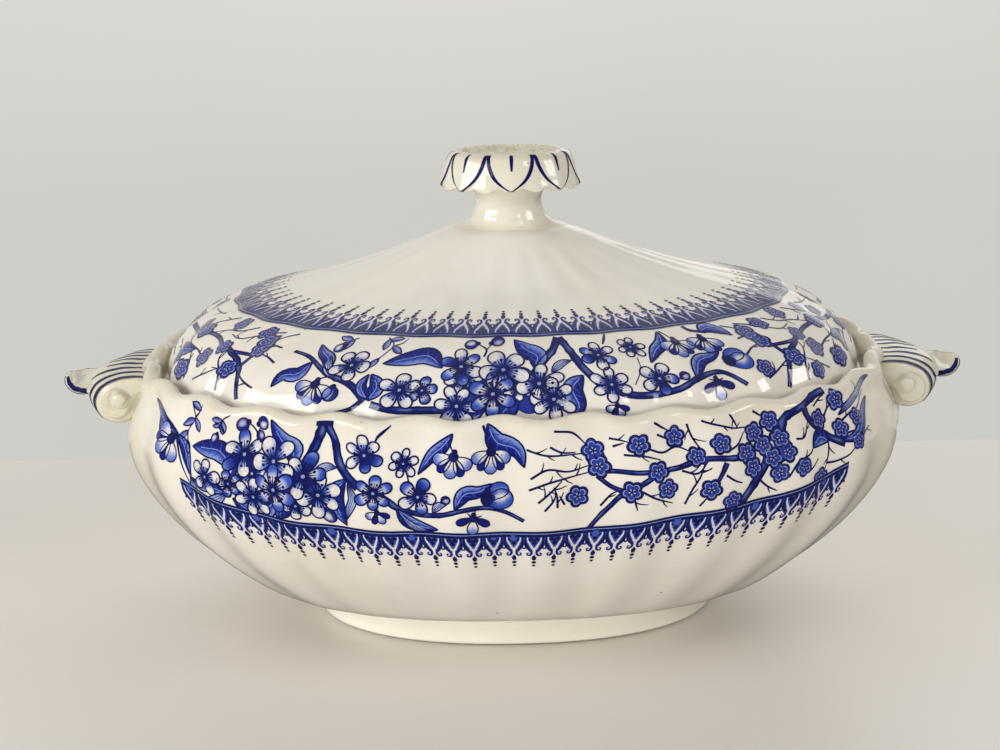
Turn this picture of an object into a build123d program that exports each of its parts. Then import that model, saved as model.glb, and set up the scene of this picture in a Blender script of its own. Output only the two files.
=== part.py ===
from build123d import *
import os
from math import cos, pi, sin, tau

# Covered oval soup tureen. Millimetres, +Z up, +X along the long side (a handle at each end),
# origin on the table under the middle of the foot.
os.makedirs("parts", exist_ok=True)

# ---- driving dimensions ----
FLUTES = 28              # shallow flutes round the bowl, a groove at each end and each side middle
POINTS_PER_FLUTE = 6     # spline points along one flute
SMOOTH_POINTS = 48       # spline points round an oval without flutes
SQUARENESS = 2.3         # superellipse power of the big ovals, 2 is a plain ellipse

# Ovals are (height, half length, half width, flute depth, squareness).
BOWL_BASE = [            # plain underside, from inside the foot ring outwards
    (7.0, 64.0, 45.5, 0.0, SQUARENESS),
    (10.0, 75.0, 53.5, 0.0, SQUARENESS),
    (13.0, 85.2, 60.7, 0.0, SQUARENESS),
    (15.6, 92.0, 65.6, 0.0, SQUARENESS),
]
BOWL_SIDE = [            # fluted bulging wall
    (15.6, 92.0, 65.6, 0.1, SQUARENESS),
    (24.0, 103.6, 73.8, 0.5, SQUARENESS),
    (33.0, 113.6, 81.0, 0.7, SQUARENESS),
    (42.0, 121.5, 86.6, 0.8, SQUARENESS),
    (51.0, 127.6, 91.0, 0.8, SQUARENESS),
    (60.0, 131.8, 94.0, 0.8, SQUARENESS),
    (69.0, 133.4, 95.2, 0.8, SQUARENESS),
    (77.0, 131.6, 94.6, 0.8, SQUARENESS),
    (85.0, 128.0, 93.5, 0.8, SQUARENESS),
]
BOWL_RIM = [             # rounded lip
    (85.0, 128.0, 93.5, 0.8, SQUARENESS),
    (88.6, 127.6, 93.6, 0.8, SQUARENESS),
    (90.6, 127.0, 93.0, 0.8, SQUARENESS),
    (91.7, 125.9, 91.9, 0.7, SQUARENESS),
    (92.0, 124.4, 90.4, 0.6, SQUARENESS),
]
BOWL_INSIDE = [
    (13.0, 64.0, 45.0, 0.0, 2.2),
    (15.5, 75.0, 53.0, 0.0, 2.2),
    (20.5, 88.0, 62.5, 0.0, 2.2),
    (27.0, 98.0, 69.5, 0.0, SQUARENESS),
    (36.0, 107.5, 76.5, 0.0, SQUARENESS),
    (46.0, 116.0, 82.5, 0.0, SQUARENESS),
    (56.0, 122.5, 87.0, 0.0, SQUARENESS),
    (64.0, 126.0, 89.5, 0.0, SQUARENESS),
    (71.0, 126.5, 89.8, 0.0, SQUARENESS),
]
LEDGE_THROAT = (110.6, 76.6)   # half length and half width of the hole inside the lid ledge
LEDGE_UNDER = 78.5             # height where the ledge's sloping underside reaches the throat
LEDGE_TOP = 83.7               # height the lid sits at
RIM_INSIDE = [
    (83.7, 121.2, 87.2, 0.0, SQUARENESS),
    (88.6, 121.2, 87.2, 0.0, SQUARENESS),
    (91.0, 122.0, 88.0, 0.0, SQUARENESS),
    (92.1, 123.7, 89.7, 0.0, SQUARENESS),
    (94.0, 126.0, 92.0, 0.0, SQUARENESS),
]

FOOT_BOTTOM = (69.6, 49.4)     # outer half axes of the foot ring on the table
FOOT_TOP = (68.6, 48.6)        # outer half axes under the bowl
FOOT_INNER = (61.5, 42.5)      # inner half axes of the ring
FOOT_SQUARENESS = 2.2
FOOT_ROUNDING = 0.8
FOOT_UPPER = 12.0              # blank height before the bowl trims the top

SEAT_GAP = 0.3                 # lid to ledge, the glaze of both bodies
LID_BOTTOM = LEDGE_TOP + SEAT_GAP
LID_OUTSIDE = [
    (LID_BOTTOM, 118.2, 84.2, 0.0, SQUARENESS),
    (86.5, 118.8, 84.8, 0.3, SQUARENESS),
    (91.0, 117.9, 83.8, 0.4, SQUARENESS),
    (96.5, 115.3, 81.0, 0.4, SQUARENESS),
    (101.5, 110.9, 76.2, 0.4, SQUARENESS),
    (106.5, 103.8, 68.6, 0.4, SQUARENESS),
    (110.6, 95.6, 59.8, 0.3, 2.25),
    (113.6, 86.0, 51.5, 0.2, 2.2),
    (116.6, 74.0, 43.8, 0.1, 2.15),
    (120.0, 60.5, 37.0, 0.0, 2.1),
    (124.6, 46.0, 30.4, 0.0, 2.05),
    (129.0, 34.0, 24.9, 0.0, 2.0),
    (132.4, 25.0, 20.4, 0.0, 2.0),
    (134.4, 18.5, 17.4, 0.0, 2.0),
]
LID_INSIDE = [
    (LID_BOTTOM - 0.1, 104.6, 70.8, 0.0, SQUARENESS),
    (88.5, 107.5, 73.6, 0.0, SQUARENESS),
    (93.5, 109.4, 75.0, 0.0, SQUARENESS),
    (98.5, 105.8, 71.2, 0.0, SQUARENESS),
    (103.0, 98.8, 63.8, 0.0, SQUARENESS),
    (106.6, 89.5, 54.5, 0.0, 2.2),
    (109.6, 79.0, 46.0, 0.0, 2.2),
    (112.6, 67.0, 38.8, 0.0, 2.1),
    (116.0, 54.0, 32.4, 0.0, 2.1),
    (120.6, 40.0, 25.8, 0.0, 2.0),
    (125.0, 27.0, 19.4, 0.0, 2.0),
    (127.0, 16.0, 14.0, 0.0, 2.0),
]
COLLAR_OUTER = (108.8, 74.8)   # locating flange under the lid, inside the throat
COLLAR_INNER = (104.6, 70.8)
COLLAR_BOTTOM = 76.0

NECK = [                       # (radius, height) up the side of the knob's neck
    (16.6, 133.2),
    (13.6, 136.0),
    (11.6, 139.6),
    (11.1, 143.4),
    (12.0, 146.6),
    (14.4, 149.2),
]
CROWN_SIDE = [                 # (height, mean radius, petal depth) of the flower on top
    (146.9, 20.6, 0.9),
    (148.4, 23.1, 1.2),
    (150.6, 23.2, 1.0),
    (154.2, 22.1, 0.8),
    (157.8, 20.8, 0.6),
    (160.0, 19.5, 0.5),
    (161.0, 18.2, 0.3),
]
PETALS = 8
PETAL_POINTS = 8               # spline points along one petal
CUP_RADIUS_TOP = 16.0          # shallow dish in the top of the flower
CUP_RADIUS_FLOOR = 14.6
CUP_FLOOR = 158.6

HANDLE_HALF_WIDTH = 20.0
HANDLE_ARCH = [                # (x, z) from the rim over the strap and round the scroll
    (126.0, 88.8),
    (130.0, 89.0),
    (134.2, 88.1),
    (138.2, 85.9),
    (140.9, 82.8),
    (141.8, 79.2),
    (140.5, 75.4),
    (137.6, 72.9),
    (134.0, 72.2),
    (130.4, 73.2),
]
HANDLE_ROOT_X = 118.0          # blank goes this far into the wall before the bowl trims it
HANDLE_SIDE_ROUNDING = 1.6
SCROLL_CENTRE = (134.3, 79.5)
EYE_RADIUS = 3.4
EYE_PROUD = 1.6
TIP_CURVE = [                  # (x, z) round the curled tip leaf
    (136.0, 80.0),
    (142.0, 78.2),
    (148.6, 77.4),
    (153.6, 79.8),
    (155.4, 84.4),
    (154.6, 87.2),
    (152.2, 86.0),
    (147.4, 85.4),
    (142.0, 86.4),
    (136.0, 87.8),
]
TIP_HALF_WIDTH = 12.0
TIP_ROUND_X = 138.0            # the leaf's outline seen from above is an ellipse about this x
TIP_ROUND_LENGTH = 17.4


def oval_point(half_length, half_width, power, angle):
    """A point of a superellipse."""
    c = cos(angle)
    s = sin(angle)
    x = half_length * abs(c) ** (2 / power) * (1 if c >= 0 else -1)
    y = half_width * abs(s) ** (2 / power) * (1 if s >= 0 else -1)
    return (x, y)


def quarter_points(half_length, half_width, power, steps):
    """Points at even distances along a quarter of the oval, from the end to the side middle."""
    fine = 2000
    dense = [oval_point(half_length, half_width, power, pi / 2 * i / fine) for i in range(fine + 1)]
    run = [0.0]
    for p, q in zip(dense, dense[1:]):
        run.append(run[-1] + ((q[0] - p[0]) ** 2 + (q[1] - p[1]) ** 2) ** 0.5)
    found = []
    at = 0
    for i in range(steps + 1):
        wanted = run[-1] * i / steps
        while at < fine and run[at] < wanted:
            at += 1
        found.append(dense[at])
    return found


def closed_spline(points):
    """Every section gets the same even parameters, so that the lofts follow the flutes."""
    count = len(points)
    even = [i / count for i in range(count + 1)]
    return Wire([Edge.make_spline(points, periodic=True, parameters=even)])


def oval_wire(height, half_length, half_width, flute, power):
    """One closed section of the body, with or without flutes."""
    steps = FLUTES * POINTS_PER_FLUTE // 4 if flute > 0 else SMOOTH_POINTS // 4
    quarter = quarter_points(half_length, half_width, power, steps)
    points = []
    for side in range(4):
        for i in range(steps):
            x, y = quarter[i] if side % 2 == 0 else quarter[steps - i]
            nx = abs(x / half_length) ** (power - 1) / half_length
            ny = abs(y / half_width) ** (power - 1) / half_width
            size = (nx * nx + ny * ny) ** 0.5
            phase = tau * (i / POINTS_PER_FLUTE if side % 2 == 0 else (steps - i) / POINTS_PER_FLUTE)
            move = -flute * cos(phase) if flute > 0 else 0.0
            x += move * nx / size
            y += move * ny / size
            sign_x = -1 if side in (1, 2) else 1
            sign_y = -1 if side in (2, 3) else 1
            points.append(Vector(sign_x * x, sign_y * y, height))
    return closed_spline(points)


def lofted(sections, ruled=False):
    return Solid.make_loft([oval_wire(*section) for section in sections], ruled)


def straight(half_axes, bottom, top, power=SQUARENESS):
    low = (bottom, half_axes[0], half_axes[1], 0.0, power)
    high = (top, half_axes[0], half_axes[1], 0.0, power)
    return lofted([low, high], ruled=True)


# ---- bowl ----
bowl_base = lofted(BOWL_BASE)
bowl_side = lofted(BOWL_SIDE)
bowl_outside = bowl_base + bowl_side + lofted(BOWL_RIM, ruled=True)
last_inside = BOWL_INSIDE[-1]
throat_section = (LEDGE_UNDER, LEDGE_THROAT[0], LEDGE_THROAT[1], 0.0, SQUARENESS)
hollow = lofted(BOWL_INSIDE)
under_ledge = lofted([last_inside, throat_section], ruled=True)
throat = straight(LEDGE_THROAT, LEDGE_UNDER, LEDGE_TOP)
mouth = lofted(RIM_INSIDE, ruled=True)
bowl = bowl_outside - hollow - under_ledge - throat - mouth

# ---- foot ring ----
foot_low = (0.0, FOOT_BOTTOM[0], FOOT_BOTTOM[1], 0.0, FOOT_SQUARENESS)
foot_high = (FOOT_UPPER, FOOT_TOP[0], FOOT_TOP[1], 0.0, FOOT_SQUARENESS)
foot_blank = lofted([foot_low, foot_high], ruled=True)
foot_blank = foot_blank.fillet(FOOT_ROUNDING, foot_blank.edges().group_by(Axis.Z)[0])
foot_ring = foot_blank - straight(FOOT_INNER, 0.0, FOOT_UPPER, FOOT_SQUARENESS) - bowl_base

# ---- handles: striped strap rolled into a scroll, with a curled tip leaf ----
arch = [(x, 0.0, z) for x, z in HANDLE_ARCH]
arch_edge = Edge.make_spline([Vector(*p) for p in arch])
root_low = Vector(HANDLE_ROOT_X, 0.0, HANDLE_ARCH[-1][1])
root_high = Vector(HANDLE_ROOT_X, 0.0, HANDLE_ARCH[0][1])
arch_end = Vector(*arch[-1])
arch_start = Vector(*arch[0])
arch_lines = [arch_edge, Edge.make_line(arch_end, root_low), Edge.make_line(root_low, root_high)]
arch_lines.append(Edge.make_line(root_high, arch_start))
strap_face = Face(Wire(arch_lines))
strap = extrude(strap_face, HANDLE_HALF_WIDTH, dir=(0, 1, 0), both=True)

tip_edge = Edge.make_spline([Vector(x, 0.0, z) for x, z in TIP_CURVE])
tip_close = Edge.make_line(tip_edge.position_at(1), tip_edge.position_at(0))
tip_face = Face(Wire([tip_edge, tip_close]))
tip_bar = extrude(tip_face, TIP_HALF_WIDTH, dir=(0, 1, 0), both=True)
outline = Pos(TIP_ROUND_X, 0, 0) * Ellipse(TIP_ROUND_LENGTH, TIP_HALF_WIDTH)
tip_round = extrude(outline, HANDLE_ARCH[0][1] + SEAT_GAP)
tip_leaf = tip_bar & tip_round

eye_pin = Cylinder(EYE_RADIUS, 2 * (HANDLE_HALF_WIDTH + EYE_PROUD), rotation=(90, 0, 0))
eye_pin = fillet(eye_pin.edges(), EYE_PROUD * 0.8)
eyes = Pos(SCROLL_CENTRE[0], 0, SCROLL_CENTRE[1]) * eye_pin
handle_right = strap + tip_leaf + eyes - bowl_outside
handle_left = handle_right.mirror(Plane.YZ)

# ---- lid ----
lid_outside = lofted(LID_OUTSIDE)
collar = straight(COLLAR_OUTER, COLLAR_BOTTOM, LID_BOTTOM + 1.0)
collar_hole = straight(COLLAR_INNER, COLLAR_BOTTOM, LID_BOTTOM)
lid = lid_outside + collar - lofted(LID_INSIDE) - collar_hole

# ---- knob: neck and petalled crown ----
neck_side = Edge.make_spline([Vector(r, 0.0, z) for r, z in NECK])
neck_bottom = Vector(0.0, 0.0, NECK[0][1])
neck_top = Vector(0.0, 0.0, NECK[-1][1])
neck_lines = [neck_side, Edge.make_line(neck_side.position_at(1), neck_top)]
neck_lines.append(Edge.make_line(neck_top, neck_bottom))
neck_lines.append(Edge.make_line(neck_bottom, neck_side.position_at(0)))
neck_solid = revolve(Face(Wire(neck_lines)), Axis.Z)
knob_neck = neck_solid - lid_outside


def petal_wire(height, radius, depth):
    count = PETALS * PETAL_POINTS
    points = []
    for i in range(count):
        angle = tau * i / count
        r = radius + depth * cos(PETALS * angle + pi)
        points.append(Vector(r * cos(angle), r * sin(angle), height))
    return closed_spline(points)


crown_blank = Solid.make_loft([petal_wire(*section) for section in CROWN_SIDE])
crown_top = CROWN_SIDE[-1][0]
cup_depth = crown_top - CUP_FLOOR
cup = Pos(0, 0, CUP_FLOOR + cup_depth / 2) * Cone(CUP_RADIUS_FLOOR, CUP_RADIUS_TOP, cup_depth)
knob_crown = crown_blank - cup - neck_solid

# ---- the kept pieces ----
pieces = {
    "bowl": bowl,
    "foot_ring": foot_ring,
    "handle_left": handle_left,
    "handle_right": handle_right,
    "lid": lid,
    "knob_neck": knob_neck,
    "knob_crown": knob_crown,
}
for name, piece in pieces.items():
    export_step(piece, f"parts/{name}.step")
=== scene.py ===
import math
import random

import bpy
import numpy as np
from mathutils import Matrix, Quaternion, Vector


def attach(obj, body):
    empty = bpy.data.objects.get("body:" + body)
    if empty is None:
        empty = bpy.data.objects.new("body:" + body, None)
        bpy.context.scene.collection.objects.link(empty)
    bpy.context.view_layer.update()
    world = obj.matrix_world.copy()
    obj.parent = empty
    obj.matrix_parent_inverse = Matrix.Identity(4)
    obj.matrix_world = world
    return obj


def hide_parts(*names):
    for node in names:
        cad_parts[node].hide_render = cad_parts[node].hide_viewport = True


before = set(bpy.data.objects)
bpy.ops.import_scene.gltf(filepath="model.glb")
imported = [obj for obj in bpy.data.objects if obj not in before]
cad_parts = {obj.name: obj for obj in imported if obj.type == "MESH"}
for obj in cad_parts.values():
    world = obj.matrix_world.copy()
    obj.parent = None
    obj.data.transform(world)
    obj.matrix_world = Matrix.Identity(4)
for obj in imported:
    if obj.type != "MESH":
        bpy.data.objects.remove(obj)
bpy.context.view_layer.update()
MM = 0.001

# ---------------------------------------------------------------- shapes
# The bowl and lid are oval shells. A profile row is
# (height, half length, half width, flute depth, squareness of the oval, wave of the lip), mm.
FLUTES = 28
OVAL = 2.3


def plain(*rows):
    """Profile rows without flutes or wave: (height, half length, half width)."""
    return [(z, a, b, 0.0, OVAL, 0.0) for z, a, b in rows]


BOWL_ROWS = [
    # underside
    (7.0, 1.5, 1.0, 0.0, 2.0, 0.0), (7.0, 30.0, 21.0, 0.0, 2.2, 0.0),
    *plain((7.0, 58.0, 41.0), (7.2, 65.0, 46.2), (10.0, 75.0, 53.5)),
    # fluted side and lip
    (13.0, 85.2, 60.7, 0.1, OVAL, 0.0), (15.6, 92.0, 65.6, 0.2, OVAL, 0.0),
    (24.0, 103.6, 73.8, 0.55, OVAL, 0.0), (33.0, 113.6, 81.0, 0.75, OVAL, 0.0),
    (42.0, 121.5, 86.6, 0.85, OVAL, 0.0), (51.0, 127.6, 91.0, 0.85, OVAL, 0.0),
    (60.0, 131.8, 94.0, 0.85, OVAL, 0.0), (69.0, 133.4, 95.2, 0.85, OVAL, 0.0),
    (77.0, 131.6, 94.6, 0.85, OVAL, 0.1), (84.0, 128.3, 93.5, 0.9, OVAL, 0.4),
    (88.0, 127.6, 93.6, 0.95, OVAL, 0.65), (90.3, 127.0, 93.0, 0.95, OVAL, 0.75),
    (91.6, 125.6, 91.6, 0.9, OVAL, 0.8), (91.9, 124.3, 90.3, 0.85, OVAL, 0.8),
    (91.6, 123.0, 89.0, 0.8, OVAL, 0.8), (90.4, 121.8, 87.8, 0.7, OVAL, 0.7),
    (88.2, 121.3, 87.3, 0.5, OVAL, 0.4), (85.0, 121.2, 87.2, 0.2, OVAL, 0.1),
    # ledge for the lid
    *plain((83.9, 120.4, 86.4), (83.7, 118.6, 84.6), (83.7, 112.8, 78.8), (83.3, 111.1, 77.1),
           (82.2, 110.6, 76.6), (79.6, 110.6, 76.6), (78.2, 112.0, 78.0)),
    # inside
    *plain((75.0, 119.0, 84.0), (71.0, 125.8, 89.4), (67.0, 126.6, 90.0), (58.0, 123.4, 87.8),
           (46.0, 116.0, 82.5), (36.0, 107.5, 76.5), (27.0, 98.0, 69.5), (20.5, 88.0, 62.5),
           (16.0, 76.0, 54.0), (13.6, 64.0, 45.0), (13.0, 50.0, 35.0)),
    (13.0, 25.0, 17.5, 0.0, 2.2, 0.0), (13.0, 1.5, 1.0, 0.0, 2.0, 0.0),
]
LID_ROWS = [
    # inside
    (127.4, 1.2, 1.1, 0.0, 2.0, 0.0), (127.2, 9.0, 8.0, 0.0, 2.0, 0.0),
    (125.4, 24.0, 17.6, 0.0, 2.0, 0.0), (120.6, 40.0, 25.8, 0.0, 2.0, 0.0),
    (116.0, 54.0, 32.4, 0.0, 2.1, 0.0), (112.6, 67.0, 38.8, 0.0, 2.1, 0.0),
    (109.6, 79.0, 46.0, 0.0, 2.2, 0.0), (106.0, 91.0, 56.0, 0.0, 2.2, 0.0),
    *plain((102.0, 100.4, 65.5), (97.0, 106.6, 72.0), (92.0, 108.4, 74.0), (87.0, 106.6, 72.6)),
    # locating collar and seat
    *plain((84.0, 105.0, 71.2), (78.0, 104.7, 70.9), (76.4, 105.2, 71.4), (76.0, 106.7, 72.8),
           (76.4, 108.2, 74.2), (78.0, 108.7, 74.7), (82.8, 108.8, 74.8), (83.9, 109.8, 75.8),
           (84.1, 112.0, 78.0), (84.1, 116.6, 82.6)),
    # fluted outside, up to the knob
    (84.7, 118.3, 84.3, 0.1, OVAL, 0.0), (86.5, 118.8, 84.8, 0.4, OVAL, 0.0),
    (91.0, 117.9, 83.8, 0.7, OVAL, 0.0), (96.5, 115.3, 81.0, 0.8, OVAL, 0.0),
    (101.5, 110.9, 76.2, 0.8, OVAL, 0.0), (106.5, 103.8, 68.6, 0.7, OVAL, 0.0),
    (110.6, 95.6, 59.8, 0.6, 2.25, 0.0), (113.6, 86.0, 51.5, 0.5, 2.2, 0.0),
    (116.6, 74.0, 43.8, 0.4, 2.15, 0.0), (120.0, 60.5, 37.0, 0.3, 2.1, 0.0),
    (124.6, 46.0, 30.4, 0.2, 2.05, 0.0), (129.0, 34.0, 24.9, 0.1, 2.0, 0.0),
    (132.4, 25.0, 20.4, 0.0, 2.0, 0.0), (134.4, 18.5, 17.4, 0.0, 2.0, 0.0),
    (135.2, 14.5, 14.2, 0.0, 2.0, 0.0),
]
# the rows at 51 mm and 110.6 mm, from which the printed bands are measured
BOWL_BORDER_ROW = 10
LID_BORDER_ROW = 28


def smooth_curve(rows, step):
    """Centripetal spline through the rows, sampled about every step mm."""
    p = np.array(rows, float)
    p = np.vstack([2 * p[0] - p[1], p, 2 * p[-1] - p[-2]])
    out = []
    for i in range(1, len(p) - 2):
        q = p[i - 1:i + 3]
        t = np.zeros(4)
        for j in range(3):
            t[j + 1] = t[j] + max(np.linalg.norm((q[j + 1] - q[j])[:3]), 1e-6) ** 0.5
        gap = np.linalg.norm((q[2] - q[1])[:2])
        count = max(3, math.ceil(gap / step))
        for x in np.linspace(t[1], t[2], count, endpoint=False):
            a = [((t[j + 1] - x) * q[j] + (x - t[j]) * q[j + 1]) / (t[j + 1] - t[j]) for j in range(3)]
            b = [((t[j + 2] - x) * a[j] + (x - t[j]) * a[j + 1]) / (t[j + 2] - t[j]) for j in range(2)]
            out.append(((t[2] - x) * b[0] + (x - t[1]) * b[1]) / (t[2] - t[1]))
    out.append(p[-2])
    return np.array(out)


class Shell:
    """An oval fluted shell. u runs once round it (0 at +X, 0.75 at the front, -Y side);
    d is mm along the profile, 0 at the border row."""

    def __init__(self, rows, border_row):
        self.curve = smooth_curve(rows, 0.25)
        c = self.curve
        step = np.hypot(np.diff(c[:, 0]), np.diff((c[:, 1] + c[:, 2]) / 2))
        run = np.concatenate([[0.0], np.cumsum(step)])
        mark = np.array(rows[border_row], float)
        self.run = run - run[int(np.argmin(np.abs(c - mark).sum(1)))]
        self.levels = np.linspace(self.run[0], self.run[-1], 260)
        self.columns = 257
        self.table = np.zeros((len(self.levels), self.columns, 2))
        self.around = np.zeros(len(self.levels))
        t = np.linspace(0, math.pi / 2, 2001)
        for j, k in enumerate(self.levels):
            _, a, b, _, n, _ = self.at(k)
            x = np.cos(t) ** (2 / n)
            y = np.sin(t) ** (2 / n)
            x[-1] = 0.0
            s = np.concatenate([[0.0], np.cumsum(np.hypot(a * np.diff(x), b * np.diff(y)))])
            w = np.linspace(0, s[-1], self.columns)
            self.table[j, :, 0] = np.interp(w, s, x)
            self.table[j, :, 1] = np.interp(w, s, y)
            self.around[j] = 4 * s[-1]

    def at(self, d):
        """The profile row at d."""
        return [np.interp(d, self.run, self.curve[:, c]) for c in range(6)]

    def length(self, d):
        """Length once round the shell at d."""
        return np.interp(d, self.levels, self.around)

    def phase(self, u):
        """Flute phase, with a little of the drift that handwork has."""
        return np.cos(2 * math.pi * (FLUTES * u + 0.08 - 0.22 * np.sin(2 * math.pi * (u - 0.8))))

    def point(self, u, d):
        """Point on the surface."""
        u, d = np.broadcast_arrays(np.asarray(u, float) % 1.0, np.asarray(d, float))
        z, a, b, flute, n, wave = self.at(d)
        side = np.floor(u * 4).astype(int) % 4
        f = u * 4 - np.floor(u * 4)
        g = np.where(side % 2 == 0, f, 1 - f) * (self.columns - 1)
        gi = np.clip(g.astype(int), 0, self.columns - 2)
        gf = g - gi
        k = (d - self.levels[0]) / (self.levels[1] - self.levels[0])
        ki = np.clip(k.astype(int), 0, len(self.levels) - 2)
        kf = np.clip(k - ki, 0, 1)
        xy = []
        for c in (0, 1):
            t = self.table[:, :, c]
            low = t[ki, gi] * (1 - gf) + t[ki, gi + 1] * gf
            high = t[ki + 1, gi] * (1 - gf) + t[ki + 1, gi + 1] * gf
            xy.append(low * (1 - kf) + high * kf)
        nx = xy[0] ** (n - 1) / a
        ny = np.maximum(xy[1], 0) ** (n - 1) / b
        size = np.hypot(nx, ny)
        fold = self.phase(u)
        x = a * xy[0] - flute * fold * nx / size
        y = b * xy[1] - flute * fold * ny / size
        sx = np.where((side == 1) | (side == 2), -1, 1)
        sy = np.where(side >= 2, -1, 1)
        return np.stack([sx * x, sy * y, z + wave * fold], -1)

    def lifted(self, u, d, lift):
        """Point a little above the surface, along its normal."""
        e = 0.12
        turn = e / self.length(d)
        along = self.point(u + turn, d) - self.point(u - turn, d)
        up = self.point(u, d + e) - self.point(u, d - e)
        n = np.cross(along, up)
        n /= np.linalg.norm(n, axis=-1, keepdims=True)
        return self.point(u, d) + n * np.asarray(lift)[..., None]


def make_object(name, points, faces, body, material, replaces=()):
    mesh = bpy.data.meshes.new(name)
    mesh.from_pydata((np.asarray(points) * MM).tolist(), [], faces)
    mesh.update()
    mesh.polygons.foreach_set("use_smooth", [True] * len(mesh.polygons))
    mesh.materials.append(material)
    obj = bpy.data.objects.new(name, mesh)
    bpy.context.scene.collection.objects.link(obj)
    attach(obj, body)
    if replaces:
        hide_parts(*replaces)
    return obj


def grid_faces(rows, cols, closed=True, base=0):
    """Quads over a rows x cols grid of points; closed joins the last column to the first."""
    r = np.arange(rows - 1)[:, None]
    c = np.arange(cols if closed else cols - 1)[None, :]
    n = (c + 1) % cols
    q = np.stack([r * cols + c, r * cols + n, (r + 1) * cols + n, (r + 1) * cols + c], -1)
    return (q.reshape(-1, 4) + base).tolist()


RING_STEP = 1.9
COLUMNS_PER_FLUTE = 16


def shell_object(name, shell, rows, body, material, replaces):
    """The shell as one closed skin, with rings about every RING_STEP mm of the profile."""
    keys = smooth_curve(rows, RING_STEP)
    marks = []
    at = 0
    for row in keys:
        near = at + int(np.argmin(np.abs(shell.curve[at:at + 400] - row).sum(1)))
        marks.append(shell.run[near])
        at = near
    marks = np.array(marks)
    cols = FLUTES * COLUMNS_PER_FLUTE
    u = np.arange(cols) / cols
    points = shell.point(u[None, :], marks[:, None]).reshape(-1, 3)
    faces = grid_faces(len(marks), cols)
    faces.append(list(range(cols))[::-1])
    faces.append([(len(marks) - 1) * cols + i for i in range(cols)])
    make_object(name, points, faces, body, material, replaces)


# ---------------------------------------------------------------- materials
def node_material(name):
    """An empty material: the material, its tree and its shader node."""
    mat = bpy.data.materials.new(name)
    mat.use_nodes = True
    tree = mat.node_tree
    tree.nodes.clear()
    out = tree.nodes.new("ShaderNodeOutputMaterial")
    shader = tree.nodes.new("ShaderNodeBsdfPrincipled")
    tree.links.new(shader.outputs["BSDF"], out.inputs["Surface"])
    return mat, tree, shader


def object_coords(tree):
    return tree.nodes.new("ShaderNodeTexCoord").outputs["Object"]


def set_values(node, values):
    for name, value in values.items():
        node.inputs[name].default_value = value


def maths(tree, operation, *values):
    node = tree.nodes.new("ShaderNodeMath")
    node.operation = operation
    for socket, value in zip(node.inputs, values):
        tree.links.new(value, socket)
    return node.outputs[0]


def bump(tree, height, distance, below=None):
    """Bump of the given depth in metres, on top of the bump below it."""
    node = tree.nodes.new("ShaderNodeBump")
    set_values(node, {"Strength": 1.0, "Distance": distance})
    tree.links.new(height, node.inputs["Height"])
    if below:
        tree.links.new(below, node.inputs["Normal"])
    return node.outputs["Normal"]


def noise(tree, scale, detail, rough, coords):
    node = tree.nodes.new("ShaderNodeTexNoise")
    set_values(node, {"Scale": scale, "Detail": detail, "Roughness": rough})
    tree.links.new(coords, node.inputs["Vector"])
    return node.outputs["Fac"]


def ramp(tree, fac, stops):
    """Colours along fac: stops are (position, colour)."""
    node = tree.nodes.new("ShaderNodeValToRGB")
    el = node.color_ramp.elements
    while len(el) < len(stops):
        el.new(0.5)
    for e, (pos, col) in zip(el, stops):
        e.position = pos
        e.color = (*col, 1.0) if len(col) == 3 else col
    tree.links.new(fac, node.inputs["Fac"])
    return node.outputs["Color"]


def mix(tree, fac, a, b, mode="MIX"):
    node = tree.nodes.new("ShaderNodeMix")
    node.data_type = "RGBA"
    node.blend_type = mode
    for socket, value in ((node.inputs[0], fac), (node.inputs[6], a), (node.inputs[7], b)):
        if isinstance(value, bpy.types.NodeSocket):
            tree.links.new(value, socket)
        elif isinstance(value, (int, float)):
            socket.default_value = value
        else:
            socket.default_value = (*value, 1.0)
    return node.outputs[2]


def scale_value(tree, value, low, high, to_low=0.0, to_high=1.0):
    """value, taken from low..high to to_low..to_high and held inside it."""
    node = tree.nodes.new("ShaderNodeMapRange")
    node.clamp = True
    tree.links.new(value, node.inputs["Value"])
    for i, v in enumerate((low, high, to_low, to_high)):
        node.inputs[1 + i].default_value = v
    return node.outputs["Result"]


def glaze_colour(tree, cream, coords, specks=150):
    """Cream glaze: cloudy tint, faint stains and small iron specks, more of them as specks grows."""
    pale, warm, grey = cream
    cloud = scale_value(tree, noise(tree, 22, 4, 0.55, coords), 0.35, 0.7)
    colour = mix(tree, cloud, pale, warm)
    patch = scale_value(tree, noise(tree, 60, 5, 0.6, coords), 0.58, 0.8, 0.0, 0.35)
    colour = mix(tree, patch, colour, grey)
    cells = tree.nodes.new("ShaderNodeTexVoronoi")
    cells.inputs["Scale"].default_value = specks
    tree.links.new(coords, cells.inputs["Vector"])
    dot = scale_value(tree, cells.outputs["Distance"], 0.0003 * specks, 0.0005 * specks, 1.0, 0.0)
    split = tree.nodes.new("ShaderNodeSeparateColor")
    tree.links.new(cells.outputs["Color"], split.inputs["Color"])
    chosen = scale_value(tree, split.outputs[0], 0.90, 0.92)
    faint = scale_value(tree, maths(tree, "MULTIPLY", dot, chosen), 0.0, 1.0, 0.0, 0.75)
    return mix(tree, faint, colour, SPECK)


def glaze_surface(tree, shader, coords, wave=0.00022, peel=0.00001):
    """Glossy glaze with slow ripples and a little orange peel; wave and peel are depths in metres."""
    set_values(shader, {"Roughness": 0.4, "IOR": 1.5, "Specular IOR Level": 0.05,
                        "Coat Weight": 0.9, "Coat Roughness": 0.045, "Coat IOR": 1.55})
    slow = bump(tree, noise(tree, 55, 2, 0.5, coords), wave)
    fine = bump(tree, noise(tree, 900, 2, 0.5, coords), peel, slow)
    tree.links.new(fine, shader.inputs["Normal"])
    tree.links.new(fine, shader.inputs["Coat Normal"])


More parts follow.
